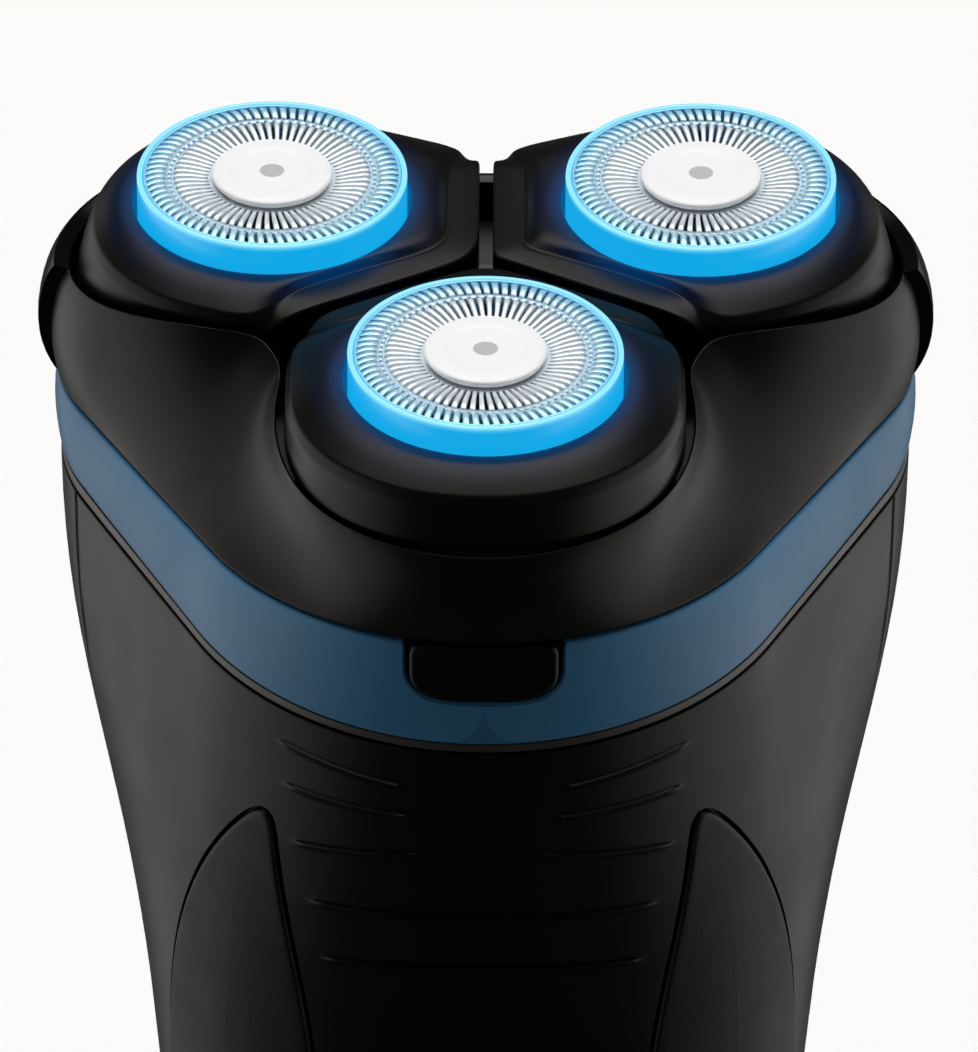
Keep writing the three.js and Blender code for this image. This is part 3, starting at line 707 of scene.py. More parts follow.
def pod_outline(unit, flare, phi):
    """A pod's outline about its own axis, and how much each angle belongs to a parting.

    Its corners are softly rounded, except the crisp ones at the parting behind the motor."""
    lean = phi - unit.angle
    ahead = np.maximum(0, np.cos(lean)) / (unit.reach + flare)
    aside = np.abs(np.sin(lean)) / (unit.side + min(flare, 0.4))
    inverse = (ahead ** 2.1 + aside ** 2.1) ** (1 / 2.1)
    parted = np.zeros_like(phi)
    for parting in unit.partings:
        power = CRISP if parting == 90 else SOFT
        side = math.copysign(1, math.sin(math.radians(parting) - unit.angle))
        normal = math.radians(parting) + side * math.pi / 2
        distance = -(unit.x * math.cos(normal) + unit.y * math.sin(normal)) - POD_GAP
        here = np.maximum(0, np.cos(phi - normal)) / distance
        total = inverse ** power + here ** power
        parted = np.maximum(parted, here ** power / total)
        inverse = total ** (1 / power)
    return 1 / inverse, parted


def softened(values, width):
    """Values around a turn, smoothed over a number of neighbours on each side."""
    spread = np.arange(-width, width + 1)
    weights = np.cos(spread / (width + 1) * math.pi / 2) ** 2
    return sum(w * np.roll(values, s, axis=0) for w, s in zip(weights, spread)) / weights.sum()


def build_pod(unit):
    """A pod: a crowned top that falls to a crease, and outside it a ledge or a sloping side."""
    phi = turn_of(360)
    foot, _ = pod_outline(unit, unit.flare, phi)
    edge, parted = pod_outline(unit, 0, phi)
    parted = softened(smooth_step(parted), 8)
    crease = softened(edge - POD_LEDGE * parted, 5)
    outer = [
        (SLEEVE_RADIUS, POD_TOP, 0.15),
        (mix(SLEEVE_RADIUS, crease, mix(0.42, 0.62, parted)), POD_TOP - 0.12, 1.5),
        (crease - 0.12, mix(POD_CREASE + 0.5, POD_TOP - 0.8, parted), 0.24),
        (crease + 0.22, mix(POD_CREASE - 0.3, POD_TOP - 0.75, parted), 0.25),
        (mix(mix(crease, foot, 0.6), edge, parted), mix(-5.9, POD_TOP - 0.95, parted), 0.25),
        (foot, POD_FOOT, 0.3),
    ]
    ceiling = POD_TOP - 1.9
    inner = [
        (foot - 1.1, POD_FOOT, 0.2),
        (np.minimum(crease, edge) - 1.5, POD_CREASE - 1.0, 0.6),
        (np.maximum(mix(SLEEVE_RADIUS, crease, 0.6) - 0.4, SLEEVE_RADIUS + 1.2), ceiling, 0.5),
        (SLEEVE_RADIUS + 0.9, ceiling, 0.3),
        (SLEEVE_RADIUS + 0.9, POD_FOOT, 0.2),
        (SLEEVE_RADIUS, POD_FOOT, 0.2),
    ]
    corners = [(radius, height) for radius, height, _ in outer + inner]
    roundings = [rounding for _, _, rounding in outer + inner]
    made = stand_in("pod_" + unit.name, [swept(corners, roundings, phi, 5)], unit.place, 40)
    # Swaps in the satin black with the painted ring glow.
    made.data.materials.clear()
    made.data.materials.append(finish("painted_glow_black"))


def build_guard_ring(unit):
    corners = [
        (9.62, -8.9), (10.9, -8.9), (10.9, -8.1), (RING_RADIUS, -8.1),
        (RING_RADIUS, 0.05), (9.62, 0.05),
    ]
    part = turned(corners, [0.1, 0.2, 0.2, 0.15, 0.2, 0.12], 160, 4)
    stand_in("guard_ring_" + unit.name, [part], unit.place)


def build_guard_cap(unit):
    """A white cap with a shallow round dish in its face."""
    corners = [
        (0, -0.35), (4.2, -0.35), (4.45, -0.05), (4.43, 0.2), (4.1, 0.34), (3.15, 0.38),
        (2.75, 0.26), (1.0, 0.3), (0.85, 0.26), (0, 0.26),
    ]
    part = turned(corners, [0, 0.1, 0.1, 0.12, 0.3, 0.2, 0.2, 0.08, 0.05, 0], 128)
    stand_in("guard_cap_" + unit.name, [part], unit.place, 50)


def slotted_band(profile, count, open_share, thickness, slot_rows, twist=0.0, phase=0.0):
    """A ring of slats between solid rims. The profile is a list of (radius, height); slots run
    between the two rows named by slot_rows, and the edges of the slats are eased."""
    profile = np.asarray(profile, float)
    pitch = FULL_TURN / count
    slat = 1 - open_share
    shares = np.array([0, 0.1, 0.5, 0.9, 1.0]) * slat
    eased = np.array([0.05, 0.012, 0, 0.012, 0.05])
    angles = (np.arange(count)[:, None] + shares - slat / 2).ravel() * pitch + phase
    rows = np.arange(len(profile))
    between = (rows > slot_rows[0]) & (rows < slot_rows[1])
    leans = twist * (profile[:, 0] - profile[:, 0].mean())
    drop = np.where(between[:, None], np.tile(eased, count), 0)
    grid = [ring_xyz(angles + lean, radius, height - fall)
            for (radius, height), lean, fall in zip(profile, leans, drop)]
    top = np.array(grid)
    bottom = top - (0, 0, thickness)
    kept = np.ones((len(profile) - 1, len(angles)), bool)
    kept[slot_rows[0]:slot_rows[1], len(shares) - 1::len(shares)] = False
    return pierced(top, bottom, kept)


def build_guard(unit):
    """The foil: two rings of slots with a beaded groove between them, and a rim down its side."""
    inner = slotted_band(
        [(3.6, -0.55), (4.5, -0.5), (4.66, -0.4), (4.72, -0.34), (5.2, -0.24), (5.8, -0.13),
         (6.4, -0.06), (6.9, -0.03), (7.16, -0.08), (7.3, -0.2), (7.42, -0.4)],
        INNER_SLATS, 0.42, 0.3, (3, 9), 0.012,
    )
    beads = slotted_band(
        [(7.38, -0.44), (7.46, -0.34), (7.52, -0.24), (7.68, -0.22), (7.74, -0.34), (7.82, -0.44)],
        OUTER_SLATS, 0.38, 0.3, (1, 4),
    )
    outer = slotted_band(
        [(7.78, -0.4), (7.86, -0.2), (7.95, -0.08), (8.25, 0.0), (8.65, 0.01), (9.0, -0.04),
         (9.22, -0.12), (9.36, -0.2), (9.42, -0.12)],
        OUTER_SLATS, 0.36, 0.3, (1, 7), 0.02, FULL_TURN / OUTER_SLATS / 2,
    )
    rim = turned(
        [(9.34, -3.4), (9.54, -3.4), (9.54, -0.02), (9.34, -0.02)], [0.04, 0.08, 0.08, 0.05], 160,
    )
    stand_in("guard_" + unit.name, [inner, beads, outer, rim], unit.place, 50)


def build_cutter(unit):
    """A cutter wheel: a socket hub, a disc and two rings of leaning blades."""
    wheel = turned(
        [(0, -4.7), (2.2, -4.7), (2.2, -6.4), (3, -6.4), (3, -2.5), (8.6, -2.5), (8.6, -1.9), (0, -1.9)],
        [0, 0.1, 0.1, 0.2, 0.3, 0.1, 0.1, 0], 64,
    )
    parts = [wheel]
    lean = Matrix.Rotation(math.radians(18), 4, "X")
    for reach, length, count in ((6.0, 1.7, 30), (8.0, 0.9, 36)):
        blade = block((-length / 2, length / 2), (-0.14, 0.14), (-2.15, -0.8), 0.05)
        for angle in turn_of(count):
            leaning = moved(blade, Matrix.Translation((0, -0.45, 0)) @ lean)
            parts.append(at(at(leaning, reach), turn=angle))
    stand_in("cutter_" + unit.name, parts, unit.place)


def build_retainer(unit):
    """The cup under a pod that keeps the guard in, with its two pivot pins and grip ribs."""
    cup = turned(
        [(8.2, -11.8), (12.2, -11.8), (12.2, -8.1), (11.3, -8.1), (11.3, -10.8), (8.2, -10.8)],
        [0.2, 0.4, 0.15, 0.15, 0.3, 0.2], 96,
    )
    parts = [cup]
    for side in (0, math.pi):
        pin = at(along_x(rod(1, 11.8, 13.2)), z=-11)
        parts.append(at(pin, turn=unit.angle + math.pi / 2 + side))
    rib = block((8.6, 11.4), (-0.25, 0.25), (-11.98, -11.6), 0.08)
    parts += [at(rib, turn=unit.angle + angle) for angle in turn_of(24)]
    stand_in("pod_retainer_" + unit.name, parts, unit.place)


# ---- Skirt, frame and back cover -----------------------------------------------------------


def skirt_wall(angles, wall, roll, proud=lambda share: 0):
    """A stretch of the skirt's wall. Its top rolls inwards; proud gives how far the outer face
    stands out from the skirt at each share of its height."""
    def level(share):
        return skirt_level(angles, share)

    def radius(share):
        return skirt_radius(angles, share) - bend(share)

    def bend(share):
        return roll * max(0, 1 - share / 0.2) ** 2.2

    down = (0, 0.03, 0.07, 0.12, 0.18, 0.25, 0.35, 0.45, 0.55, 0.65, 0.75, 0.84, 0.92, 1.0)
    up = (1.0, 0.8, 0.6, 0.4, 0.3, 0.2, 0.1, 0.04)
    outer = [(radius(share) + proud(share), level(share) - 0.35 * bend(share)) for share in down]
    inner = [(radius(share) - mix(0.4, wall, smooth_step(share * 2)), level(share)) for share in up]
    roundings = [0.25] + [0] * (len(down) - 2) + [0.22, 0.2] + [0] * (len(up) - 2) + [0.2]
    return swept(outer + inner, roundings, angles, ring=False)


def build_skirt():
    stand_in("skirt", [skirt_wall(np.radians(np.linspace(-188.5, 8.5, 280)), 0.8, 0.25)])


def hinge_barrel(low, high):
    tube = turned([(1.05, low), (1.7, low), (1.7, high), (1.05, high)], [0.1, 0.25, 0.25, 0.1], 48)
    return at(along_x(tube), y=HINGE.y, z=HINGE.z)


def build_skirt_back():
    """The glossy back cover, prouder than the skirt, with the hinge's middle knuckle."""
    angles = np.radians(np.linspace(9.2, 170.8, 220))
    cover = skirt_wall(angles, 1.3, 0.2, lambda share: BACK_PROUD * (1.15 - share ** 4))
    web = block((-3.3, 3.3), (HINGE.y - 1.9, HINGE.y - 0.7), (HINGE.z + 0.3, SKIRT_FOOT + 1.4), 0.25)
    stand_in("skirt_back", [cover, web, hinge_barrel(-3.4, 3.4)])


def build_head_frame():
    """The plate inside the skirt that carries the pods on saddles."""
    theta = turn_of(160)
    outline = flat_outline(theta, skirt_radius(theta, 0.72) - 2.6)
    parts = [plate(outline, [circle(7, unit.x, unit.y) for unit in UNITS], -14.2, -12.75)]
    for unit in UNITS:
        lip = turned([(7.0, -14.6), (7.8, -14.6), (7.8, -13.9), (7.0, -13.9)], [0.15] * 4, 80)
        parts.append(at(lip, unit.x, unit.y))
        for side in (-1, 1):
            turn = unit.angle + side * math.pi / 2
            for cheek in (-1.9, 1.2):
                saddle = block((12.4, 13.9), (cheek, cheek + 0.7), (-13.0, -10.0), 0.15)
                parts.append(at(at(saddle, turn=turn), unit.x, unit.y))
            bed = block((12.4, 13.9), (-1.9, 1.9), (-13.2, -12.35), 0.15)
            parts.append(at(at(bed, turn=turn), unit.x, unit.y))
    for angle in np.radians((-150, -30, 90)):
        rib = block((2.5, 12.0), (-0.45, 0.45), (-15.0, -14.0), 0.15)
        parts.append(at(rib, turn=angle))
    stand_in("head_frame", parts)


# ---- Collar and release button -------------------------------------------------------------

MOON_HALF, MOON_FOOT = 5.4, -21.6


def collar_front(x, z):
    """Y of the collar's outer face at a place on its front."""
    y = np.full(np.shape(x), -30.0)
    for _ in range(12):
        theta = np.arctan2(y, x)
        foot = collar_foot_level(theta, neck_outline(theta))
        share = np.clip((COLLAR_TOP - z) / (COLLAR_TOP - foot), 0, 1)
        radius = collar_radius(theta, share)
        y = -np.sqrt(radius ** 2 - x ** 2)
    return y


def on_collar(flat, proud):
    """Lays (x, z) points onto the collar's front face, standing out by some millimetres."""
    x, z = flat.T
    return np.column_stack([x, collar_front(x, z) - proud, z])


def half_moon(grow, proud):
    """The release button's outline, laid on the collar's front face."""
    half, top, foot = MOON_HALF + grow, COLLAR_TOP + 0.05 + grow, MOON_FOOT - grow
    corners = [(-half, top), (half, top), (half, foot), (-half, foot)]
    return on_collar(rounded(corners, [0.9, 0.9, 3.7, 3.7], 10), proud)


def build_release_button():
    """A half-moon key with a raised border around a shallow dish."""
    loops = [half_moon(0, -2.3), half_moon(0, 0.12), half_moon(-0.06, 0.26), half_moon(-0.2, 0.34)]
    edge = half_moon(-0.3, 0)[:, [0, 2]]
    middle = np.array([0, COLLAR_TOP - 2.2])
    dish = ((0.97, 0.33), (0.9, 0.24), (0.8, 0.14), (0.6, 0.05), (0.35, 0.0), (0.1, -0.02))
    loops += [on_collar(mix(middle, edge, share), proud) for share, proud in dish]
    stem = block((-5.1, 5.1), (-28.4, -26.6), (-19.8, -17.3))
    flange = block((-6.3, 6.3), (-27, -26.2), (-19.8, -17.3))
    stand_in("release_button", [skin(loops, ring=False), stem, flange])


def build_collar():
    """The blue band around the neck, with a notch for the button and the hinge's outer lugs."""
    theta = turn_of(300)
    down = (0, 0.12, 0.25, 0.4, 0.55, 0.7, 0.85, 1.0)
    up = (1.0, 0.7, 0.4, 0.12, 0)

    def point(share, offset):
        radius = collar_radius(theta, share)
        return radius + offset, mix(COLLAR_TOP, collar_foot_level(theta, radius), share)

    corners = [point(share, 0) for share in down] + [point(share, -COLLAR_WALL) for share in up]
    roundings = [0.35] + [0] * (len(down) - 2) + [0.25, 0.15] + [0] * (len(up) - 2) + [0.2]
    parts = [swept(corners, roundings, theta)]
    for low, high in ((3.8, 7.4), (-7.4, -3.8)):
        parts.append(hinge_barrel(low, high))
        lug = block((low + 0.1, high - 0.1), (20.4, HINGE.y - 0.8), (HINGE.z - 1.4, HINGE.z + 0.6))
        parts.append(lug)
    notch = skin([half_moon(GAP, -6), half_moon(GAP, -0.2), half_moon(GAP + 0.22, 0.05),
                  half_moon(GAP + 0.22, 3)], ring=False)
    above = block((-5.9, 5.9), (-34, -26), (COLLAR_TOP - 0.4, COLLAR_TOP + 1.5), 0.1)
    stand_in("collar", parts, cutters=[notch, above])


def build_hinge_pin():
    pin = rod(0.8, -8, 8, 0.3, 32)
    stand_in("hinge_pin", [at(along_x(pin), y=HINGE.y, z=HINGE.z)])


def build_hair_chamber():
    """The tray under the cutters: a floor with a raised lip round each spindle."""
    theta = turn_of(200)
    front = np.where(np.sin(theta) < -0.3, 22.2 / np.maximum(-np.sin(theta), 0.3), np.inf)
    outline = flat_outline(theta, np.minimum(collar_top_outline(theta) - 2.4, front))
    parts = [plate(outline, [circle(2.3, unit.x, unit.y) for unit in UNITS], -18.8, -17.5)]
    lip = turned([(2.3, -18.7), (3.2, -18.7), (3.2, -16.9), (2.3, -16.9)], [0.1, 0.1, 0.25, 0.15], 64)
    parts += [at(lip, unit.x, unit.y) for unit in UNITS]
    parts.append(turned([(0, -17.8), (3.6, -17.8), (3.4, -17.1), (0, -17.0)], [0, 0.2, 0.3, 0], 64))
    for unit in UNITS:
        rib = block((3.3, 14.0), (-0.4, 0.4), (-17.7, -17.15), 0.12)
        parts.append(at(rib, turn=unit.angle))
    stand_in("hair_chamber", parts)


def build_spindle(unit):
    """A drive spindle with three keys near its tip."""
    shaft = turned(
        [(0, -23.8), (1.7, -23.8), (1.7, -13.5), (1.2, -12.5), (1.2, -6.6), (0.85, -5.6), (0, -5.6)],
        [0, 0.15, 0.3, 0.3, 0.2, 0.15, 0], 48,
    )
    keys = [at(block((0.7, 1.65), (-0.3, 0.3), (-12.4, -7.4), 0.1), turn=angle) for angle in turn_of(3)]
    stand_in("spindle_" + unit.name, [shaft, *keys], unit.place)


# ---- Handle --------------------------------------------------------------------------------

SPINE = np.array([[0, 0, 0], [0, 0, 42], [0, 9.2, 89], [0, -7.1, 131]], float)
NECK_START = 88
# Height along the spine, half width, reach to the front, reach to the back, squareness.
STATIONS = np.array([
    [0, 21.6, 17.4, 17.4, 2.5],
    [22, 22.9, 18.3, 18.4, 2.5],
    [60, 23, 18.8, 18.8, 2.4],
    [90, 25.5, 21.4, 20, 2.3],
    [113, 28, 25.6, 21, 2.2],
    [132.2, 31.8, 29.7, 21, 2.1],
])


def spine_point(t):
    """The Bezier curve that the handle follows, and its direction."""
    t = np.asarray(t)[..., None]
    weights = [(1 - t) ** 3, 3 * t * (1 - t) ** 2, 3 * t * t * (1 - t), t ** 3]
    place = sum(weight * point for weight, point in zip(weights, SPINE))
    steps = np.diff(SPINE, axis=0)
    slopes = [3 * (1 - t) ** 2, 6 * t * (1 - t), 3 * t * t]
    way = sum(slope * step for slope, step in zip(slopes, steps))
    return place, way / np.linalg.norm(way, axis=-1, keepdims=True)


SPINE_SHARES = np.linspace(0, 1, 401)
SPINE_LENGTHS = lengths_along(spine_point(SPINE_SHARES)[0])
SPINE_LENGTH = SPINE_LENGTHS[-1]
TRIM_TOP, TRIM_FOOT = SPINE_LENGTH - 0.2, SPINE_LENGTH - 1.2
SHELL_TOP = TRIM_FOOT - GAP


def stations_at(height):
    """Smooth cubic interpolation of the handle's stations."""
    knots = STATIONS[:, 0]
    i = np.clip(np.searchsorted(knots, height, side="right") - 1, 0, len(knots) - 2)
    t0, t1 = knots[i], knots[i + 1]
    first, last = i == 0, i == len(knots) - 2
    before = np.where(first, i + 1, i - 1)
    after = np.where(last, i, np.minimum(i + 2, len(knots) - 1))
    half = (t1 - t0) / 2
    lead = np.where(first, -0.5, half / np.where(first, 1, t0 - knots[before]))
    trail = np.where(last, -0.5, half / np.where(last, 1, knots[after] - t1))
    p = (height - t0) / (t1 - t0)
    weights = [
        -lead * p ** 3 + 2 * lead * p ** 2 - lead * p,
        (1 + lead) * p ** 3 + (-1.5 - 2 * lead) * p ** 2 + (-0.5 + lead) * p + 1,
        (-1 - trail) * p ** 3 + (1.5 + trail) * p ** 2 + 0.5 * p,
        trail * p ** 3 - trail * p ** 2,
    ]
    rows = (before, i, i + 1, after)
    values = sum(w[..., None] * STATIONS[row, 1:] for w, row in zip(weights, rows))
    return np.moveaxis(values, -1, 0)


def handle_radius(height, theta):
    half, front, back, square = stations_at(np.asarray(height, float))
    reach = np.where(np.sin(theta) < 0, front, back)
    oval = (np.abs(np.cos(theta) / half) ** square + np.abs(np.sin(theta) / reach) ** square) ** (-1 / square)
    share = smooth_step((height - NECK_START) / (SPINE_LENGTH - NECK_START))
    return mix(oval, neck_outline(theta), share)


def handle_point(height, theta, offset=0.0):
    """A point on the handle, at a height along its spine and an angle around it."""
    height, theta, offset = np.broadcast_arrays(height, theta, offset)
    place, way = spine_point(np.interp(height, SPINE_LENGTHS, SPINE_SHARES))
    right = np.array([1.0, 0, 0])
    back = np.cross(way, right)
    radius = (handle_radius(height, theta) + offset)[..., None]
    return place + radius * (np.cos(theta)[..., None] * right + np.sin(theta)[..., None] * back)


# Ribs across the front of the neck: height, rise per 20 degrees outwards, and the angles from
# the middle between which each rib shows.
RIBS = [(126.3, 1.1, 11, 32), (122.1, 0.0, 10, 31), (116.4, -1.9, 8, 30), (108.9, -0.5, -4, 28.5),
        (102.2, -0.5, -4, 28)]
RIB_RISE = 0.26
RIB_STEPS = np.array([-0.95, -0.7, -0.5, -0.3, -0.12, 0.02, 0.16, 0.26, 0.9])
RIB_SHAPE = np.array([0, 0, 0.15, 0.5, 0.9, 1, 0.7, 0, 0])


def ribbed_rows(theta):
    """Heights and offsets of the front shell's outer face, row by row, at each angle."""
    lean = np.abs(np.degrees(theta) + 90)
    rows = [(h, 0.0) for h in np.linspace(SHELL_FOOT, 100, 34)]
    for base, slope, inner, outer in reversed(RIBS):
        shows = smooth_step((lean - inner) / 2.5) * smooth_step((outer - lean) / 2.5)
        line = base + slope * (np.clip(lean, 0, 40) - 20) / 20
        rows += [(line + step, RIB_RISE * part * shows) for step, part in zip(RIB_STEPS, RIB_SHAPE)]
    rows += [(SHELL_TOP - 0.8, 0.0), (SHELL_TOP, 0.0)]
    heights = np.stack([np.broadcast_to(h, theta.shape) for h, _ in rows], axis=1)
    offsets = np.stack([np.broadcast_to(o, theta.shape) for _, o in rows], axis=1)
    return heights, offsets


def laced(heights, inner):
    """Triangles that close an end of a wall, laced between its outer and its inner rows."""
    outer_side = list(range(len(heights) - inner))
    inner_side = list(range(len(heights) - 1, len(heights) - inner - 1, -1))
    faces = []
    while len(outer_side) > 1 or len(inner_side) > 1:
        outer_next = len(inner_side) == 1
        if len(outer_side) > 1 and len(inner_side) > 1:
            outer_next = heights[outer_side[1]] < heights[inner_side[1]]
        if outer_next:
            faces.append((outer_side[0], outer_side[1], inner_side[0]))
            outer_side.pop(0)
        else:
            faces.append((outer_side[0], inner_side[1], inner_side[0]))
            inner_side.pop(0)
    return faces


def casing(loops, heights, inner):
    """A wall through loops of points, with its two ends laced closed."""
    points, faces = skin(loops, ring=False, caps=False)
    for end in (0, len(loops) - 1):
        start = end * loops.shape[1]
        faces += [tuple(start + i for i in face) for face in laced(heights[end], inner)]
    return points, faces


def seam_lip(middle):
    """A strip behind the seam between the shells, which keeps light from shining through it."""
    theta = np.radians(middle + np.linspace(-3, 3, 9))
    rows = np.linspace(SHELL_FOOT + 0.4, SHELL_TOP - 0.4, 60)
    heights = np.concatenate([rows, rows[::-1]])
    offsets = np.repeat([-SHELL_WALL - 0.02, -SHELL_WALL - 0.6], len(rows))
    return casing(handle_point(heights, theta[:, None], offsets), [heights] * len(theta), len(rows))


def shell(theta, ribbed):
    """A half of the handle's casing, with eased edges at its seams, top and foot."""
    if ribbed:
        heights, offsets = ribbed_rows(theta)
    else:
        rows = np.concatenate([np.linspace(SHELL_FOOT, SHELL_TOP - 0.8, 44), [SHELL_TOP]])
        heights = np.broadcast_to(rows, (len(theta), len(rows)))
        offsets = np.zeros_like(heights)
    outer = np.stack([heights, offsets], axis=-1)
    inner = np.array([(height, -SHELL_WALL) for height in np.linspace(SHELL_TOP, SHELL_FOOT, 16)])
    outline = np.concatenate([outer, np.broadcast_to(inner, (len(theta), *inner.shape))], axis=1)
    roundings = [0.25] + [0] * (heights.shape[1] - 2) + [0.12] + [0] * len(inner)
    sections = rounded(outline, roundings, 4)
    ease = np.zeros(len(theta))
    ease[[0, -1]], ease[[1, -2]] = 0.16, 0.04
    offset = sections[..., 1] - np.where(sections[..., 1] > -1, ease[:, None], 0)
    loops = handle_point(sections[..., 0], theta[:, None], offset)
    return casing(loops, sections[..., 0], len(inner))


def seam_angles(low, high, count):
    """Angles across a casing half, with two close together at each seam."""
    ease = 0.35
    middle = np.linspace(low + ease, high - ease, count)
    return np.radians([low, low + ease * 0.4, *middle, high - ease * 0.4, high])


# ---- Grips ---------------------------------------------------------------------------------

GRIP_FRONT = math.radians(-123.2)
GRIP_BOW = math.radians(40.3)
GRIP_MIDDLE, GRIP_HALF = 70, 49.6
GRIP_GIRTH = 26             # radius at which a grip's width is measured


def grip_middle(height):
    """Distance from a grip's straight front edge to the middle of its width, at a height."""
    u = np.clip((height - GRIP_MIDDLE) / GRIP_HALF, -1, 1)
    return -GRIP_GIRTH * GRIP_BOW * (1 - u ** 2) / 2


def grip_outline(grow):
    """A grip's outline unrolled flat, grown by some millimetres: straight in front, bowed
    behind, with rounded tips."""
    u = np.sin(np.linspace(-math.pi / 2, math.pi / 2, 300))
    rise = GRIP_MIDDLE + u * GRIP_HALF
    front = np.column_stack([np.zeros_like(u), rise])
    back = np.column_stack([2 * grip_middle(rise), rise])[::-1]
    loop = np.concatenate([front, back[1:-1]])
    closed = np.vstack([loop, loop[:1]])
    lengths = lengths_along(closed)
    even = np.linspace(0, lengths[-1], 420, endpoint=False)
    loop = np.column_stack([np.interp(even, lengths, closed[:, i]) for i in (0, 1)])
    loop = softened(loop, 13)
    way = np.roll(loop, -1, axis=0) - np.roll(loop, 1, axis=0)
    way /= np.linalg.norm(way, axis=1, keepdims=True)
    return loop + grow * np.column_stack([way[:, 1], -way[:, 0]])


def on_grip(flat, offset, side):
    """Lays unrolled points onto the left or right side of the handle."""
    angle = GRIP_FRONT + flat[:, 0] / GRIP_GIRTH
    return handle_point(flat[:, 1], angle if side < 0 else -math.pi - angle, offset)


def grip_fill(outline, offset, crown, side):
    """Loops that fill a grip's outline, from just inside it to the middle line of its width."""
    rise = np.clip(outline[:, 1], GRIP_MIDDLE - GRIP_HALF + 5, GRIP_MIDDLE + GRIP_HALF - 5)
    spine = np.column_stack([grip_middle(rise), rise])
    width = np.abs(spine - outline)[:, 0]
    depth = crown * smooth_step((GRIP_HALF - np.abs(rise - GRIP_MIDDLE)) / 30)
    rise_inwards = depth * smooth_step(width / 8)
    return [
        on_grip(mix(outline, spine, share), offset + rise_inwards * smooth_step(share), side)
        for share in (0.12, 0.26, 0.42, 0.58, 0.74, 0.88, 1.0)
    ]


def grip_solid(side, steps, crown):
    """A solid in a grip's outline. Steps are pairs of growth and offset, from its underside to
    its face, which is crowned."""
    (low_grow, low), (high_grow, high) = steps[0], steps[-1]
    loops = grip_fill(grip_outline(low_grow), low, 0, side)[::-1]
    loops += [on_grip(grip_outline(grow), offset, side) for grow, offset in steps]
    loops += grip_fill(grip_outline(high_grow), high, crown, side)
    return skin(loops, ring=False, caps=False)


def build_grip(side, node):
    """A soft pad let into the front shell, with a rolled edge and a slight crown."""
    steps = [(0, -1.2), (0, -0.1), (-0.03, 0.08), (-0.1, 0.19), (-0.22, 0.25), (-0.36, 0.27)]
    stand_in(node, [grip_solid(side, steps, 0.2)], HANDLE)


def grip_pocket(side):
    """What the front shell loses for a grip, with an eased edge at the surface."""
    return grip_solid(side, [(GAP, -1.7), (GAP, -0.06), (GAP + 0.07, 0.02), (GAP + 0.07, 2)], 0)


# ---- Shells, button and foot ---------------------------------------------------------------

SEAM = 0.25                 # half of the gap between the shells, in degrees
BUTTON = SimpleNamespace(z=62, radius=7.4)
LENS = SimpleNamespace(z=40, half_width=1.6, half_height=4.6)


def front_face(z):
    """Y of the handle's front at a height."""
    return float(handle_point(z, -math.pi / 2)[1])


def stadium(grow, y):
    """An upright stadium outline at a depth."""
    half = LENS.half_width + grow
    straight = LENS.half_height - LENS.half_width
    upper = np.linspace(0, math.pi, 16)
    lower = upper + math.pi
    x = half * np.cos(np.concatenate([upper, lower]))
    z = half * np.sin(np.concatenate([upper, lower]))
    z += np.repeat([straight, -straight], 16) + LENS.z
    return np.column_stack([x, np.full_like(x, y), z])


def build_shells():
    reach, eased = BUTTON.radius + 0.4, BUTTON.radius + 1.2
    face = -front_face(BUTTON.z)
    opening = turned(
        [(0, -8), (reach, -8), (reach, face - 0.5), (eased, face + 0.25), (eased, 30), (0, 30)],
        [0] * 6, 128,
    )
    slot_face = front_face(LENS.z)
    slot = skin([stadium(0.15, -8), stadium(0.15, slot_face + 0.3), stadium(0.5, slot_face - 0.1),
                 stadium(0.5, -30)], ring=False)
    cutters = [grip_pocket(-1), grip_pocket(1), facing_front(opening, BUTTON.z), slot]
    front = shell(seam_angles(-180 + SEAM, -SEAM, 200), True)
    stand_in("front_shell", [front], HANDLE, 28, cutters)
    rear = shell(seam_angles(SEAM, 180 - SEAM, 160), False)
    stand_in("rear_shell", [rear, seam_lip(0), seam_lip(180)], HANDLE)


def build_neck_trim():
    """The dark strip between the shells and the blue band."""
    theta = turn_of(300)
    corners = [(TRIM_FOOT, -0.05), (TRIM_TOP, -0.02), (TRIM_TOP, -2.6), (TRIM_FOOT, -2.6)]
    outline = rounded(corners, [0.12, 0.15, 0, 0], 4)
    loops = handle_point(outline[:, 0], theta[:, None], outline[:, 1])
    stand_in("neck_trim", [skin(loops)], HANDLE)


def build_power_button():
    """A round key with a raised rim, a dished face and a fine grooved ring."""
    low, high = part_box("power_button")
    face, back = -low.y / MM, -high.y / MM
    edge = BUTTON.radius
    flange = edge + 1.2
    corners = [
        (0, back), (flange, back), (flange, back + 0.8), (edge, back + 0.8), (edge, face - 0.05),
        (edge - 1.0, face), (edge - 1.3, face - 0.22), (edge - 1.6, face - 0.1), (3.0, face - 0.5),
        (0, face - 0.6),
    ]
    key = turned(corners, [0, 0.15, 0.15, 0.1, 0.3, 0.25, 0.1, 0.2, 1.2, 0], 128, 4)
    stand_in("power_button", [facing_front(key, BUTTON.z)], HANDLE, 40)


def build_lens():
    """The light pipe of the charge indicator, slightly domed."""
    face = front_face(LENS.z)
    steps = [(0, 0.25), (-0.12, 0.08), (-0.5, 0.02), (-1.1, 0), (-1.5, 0)]
    loops = [stadium(0, -12)] + [stadium(grow, face + rise) for grow, rise in steps]
    stand_in("indicator_lens", [skin(loops, ring=False)], HANDLE)


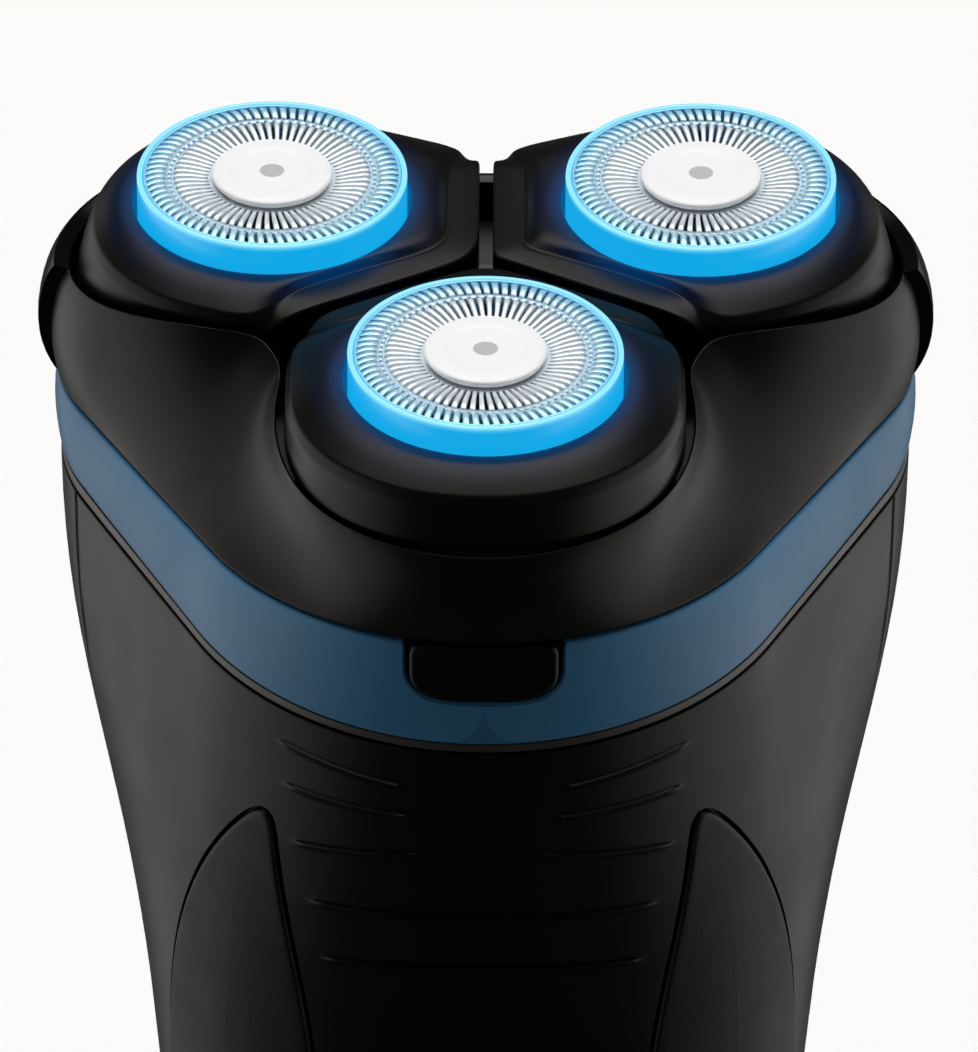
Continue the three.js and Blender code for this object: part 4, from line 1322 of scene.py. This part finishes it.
def build_bottom_cap():
    """The foot of the handle, eased at its base, with an opening for the charging inlet."""
    theta = turn_of(240)
    radius = handle_radius(np.full_like(theta, 4.0), theta)
    corners = [
        (0, 0), (radius - 3.6, 0), (radius - 2.6, 0), (radius - 1.1, 0.5), (radius - 0.2, 1.8),
        (radius, 3.2), (radius, CAP_TOP), (radius - 2.6, CAP_TOP), (0, CAP_TOP),
    ]
    body = swept(corners, [0, 0, 0.5, 0.7, 0.7, 0.4, 0.25, 0.2, 0], theta)
    opening = block((-6.9, 6.9), (5.7, 12.3), (-1, 8), 0.8)
    stand_in("bottom_cap", [body], HANDLE, 32, [opening])


def build_handle():
    build_shells()
    build_neck_trim()
    build_grip(-1, "grip_left")
    build_grip(1, "grip_right")
    build_power_button()
    build_lens()
    build_bottom_cap()


def build_head():
    for unit in UNITS:
        build_pod(unit)
        build_guard_ring(unit)
        build_guard(unit)
        build_guard_cap(unit)
        build_cutter(unit)
        build_retainer(unit)
        build_spindle(unit)
    build_skirt()
    build_skirt_back()
    build_head_frame()
    build_collar()
    build_release_button()
    build_hinge_pin()
    build_hair_chamber()


def finish_inner_nodes():
    """The CAD nodes that stay in view or inside keep their shape and get a finish."""
    for node, made in frame["nodes"].items():
        if made.hide_render:
            continue
        made.data.materials.clear()
        made.data.materials.append(finish(SLOT_OF[node]))


# ---- Stage ---------------------------------------------------------------------------------


def build_floor():
    """A wide, plain, pale floor."""
    reach = 60
    mesh = bpy.data.meshes.new("floor")
    mesh.from_pydata([(-reach, -reach, 0), (reach, -reach, 0), (reach, reach, 0), (-reach, reach, 0)],
                     [], [(0, 1, 2, 3)])
    floor = new_object("floor", mesh, Matrix.Identity(4))
    paint = Paint.fresh("floor", (0.92, 0.92, 0.92), 0.9, Specular_IOR_Level=0.1)
    paint.relief(paint.noise(400.0), 0.02)
    floor.data.materials.append(paint.material)
    floor.visible_glossy = False
    floor.visible_diffuse = False


# Brightness of the studio's side walls, of its corners behind, of its lamp overhead and elsewhere.
SIDE_LIGHT, BACK_LIGHT, TOP_LIGHT, BASE_LIGHT = 1.4, 0.9, 3.7, 0.055
BACKDROP = 0.97


def build_world():
    """Soft studio light from both sides, both corners behind and overhead; a pale backdrop."""
    world = bpy.data.worlds.new("studio")
    bpy.context.scene.world = world
    world.use_nodes = True
    nodes = Nodes(world.node_tree)

    def fade(value, dark, lit):
        return nodes.between(value, dark, lit, interpolation_type="SMOOTHSTEP")

    def total(operation, *values):
        result = values[0]
        for value in values[1:]:
            result = nodes.math(operation, result, value)
        return result

    way = nodes.add("TexCoord").outputs["Generated"]
    x, y, z = nodes.add("SeparateXYZ", {"Vector": way}).outputs
    aside = nodes.math("ABSOLUTE", x)
    light = total(
        "ADD",
        total("MULTIPLY", fade(aside, 0.45, 0.95), fade(y, 0.8, 0.2), fade(y, -0.9, -0.1),
              fade(z, 0.6, 0.05), SIDE_LIGHT),
        total("MULTIPLY", fade(y, 0.3, 0.6), fade(z, 0.55, 0.3), fade(aside, 0.35, 0.65), BACK_LIGHT),
        total("MULTIPLY", fade(z, 0.78, 0.95), TOP_LIGHT),
        BASE_LIGHT,
    )
    seen = nodes.add("LightPath").outputs["Is Camera Ray"]
    shown = nodes.math("MULTIPLY", seen, BACKDROP)
    cast = nodes.math("MULTIPLY", nodes.math("SUBTRACT", 1, seen), light)
    background = nodes.tree.nodes["Background"]
    nodes.tree.links.new(nodes.math("ADD", shown, cast), background.inputs["Strength"])
    background.inputs["Color"].default_value = (1.0, 0.99, 0.975, 1)


def build_camera():
    """A long lens from above the front, at the angle that the object is shown from."""
    distance = 0.85
    elevation, roll = math.radians(18), math.radians(0.3)
    target = HEAD.translation
    back = Vector((0, -math.cos(elevation), math.sin(elevation)))
    place = target + back * distance
    # The guards' plane sits above and a little left of the middle of the frame.
    tip_down = math.radians(1.503)
    turn_right = math.radians(0.0224)
    aim = Matrix.Rotation(-tip_down, 3, "X") @ Matrix.Rotation(-turn_right, 3, "Z") @ (-back)
    turn = aim.to_track_quat("-Z", "Y").to_matrix() @ Matrix.Rotation(roll, 3, "Z")
    data = bpy.data.cameras.new("camera")
    data.lens = 396.0
    data.sensor_width = 36
    data.clip_start, data.clip_end = 0.05, 200
    camera = new_object("camera", data, Matrix.Translation(place) @ turn.to_4x4())
    bpy.context.scene.camera = camera


build_camera()
build_head()
build_handle()
finish_inner_nodes()
build_floor()
build_world()
bpy.context.scene.view_settings.view_transform = "Standard"
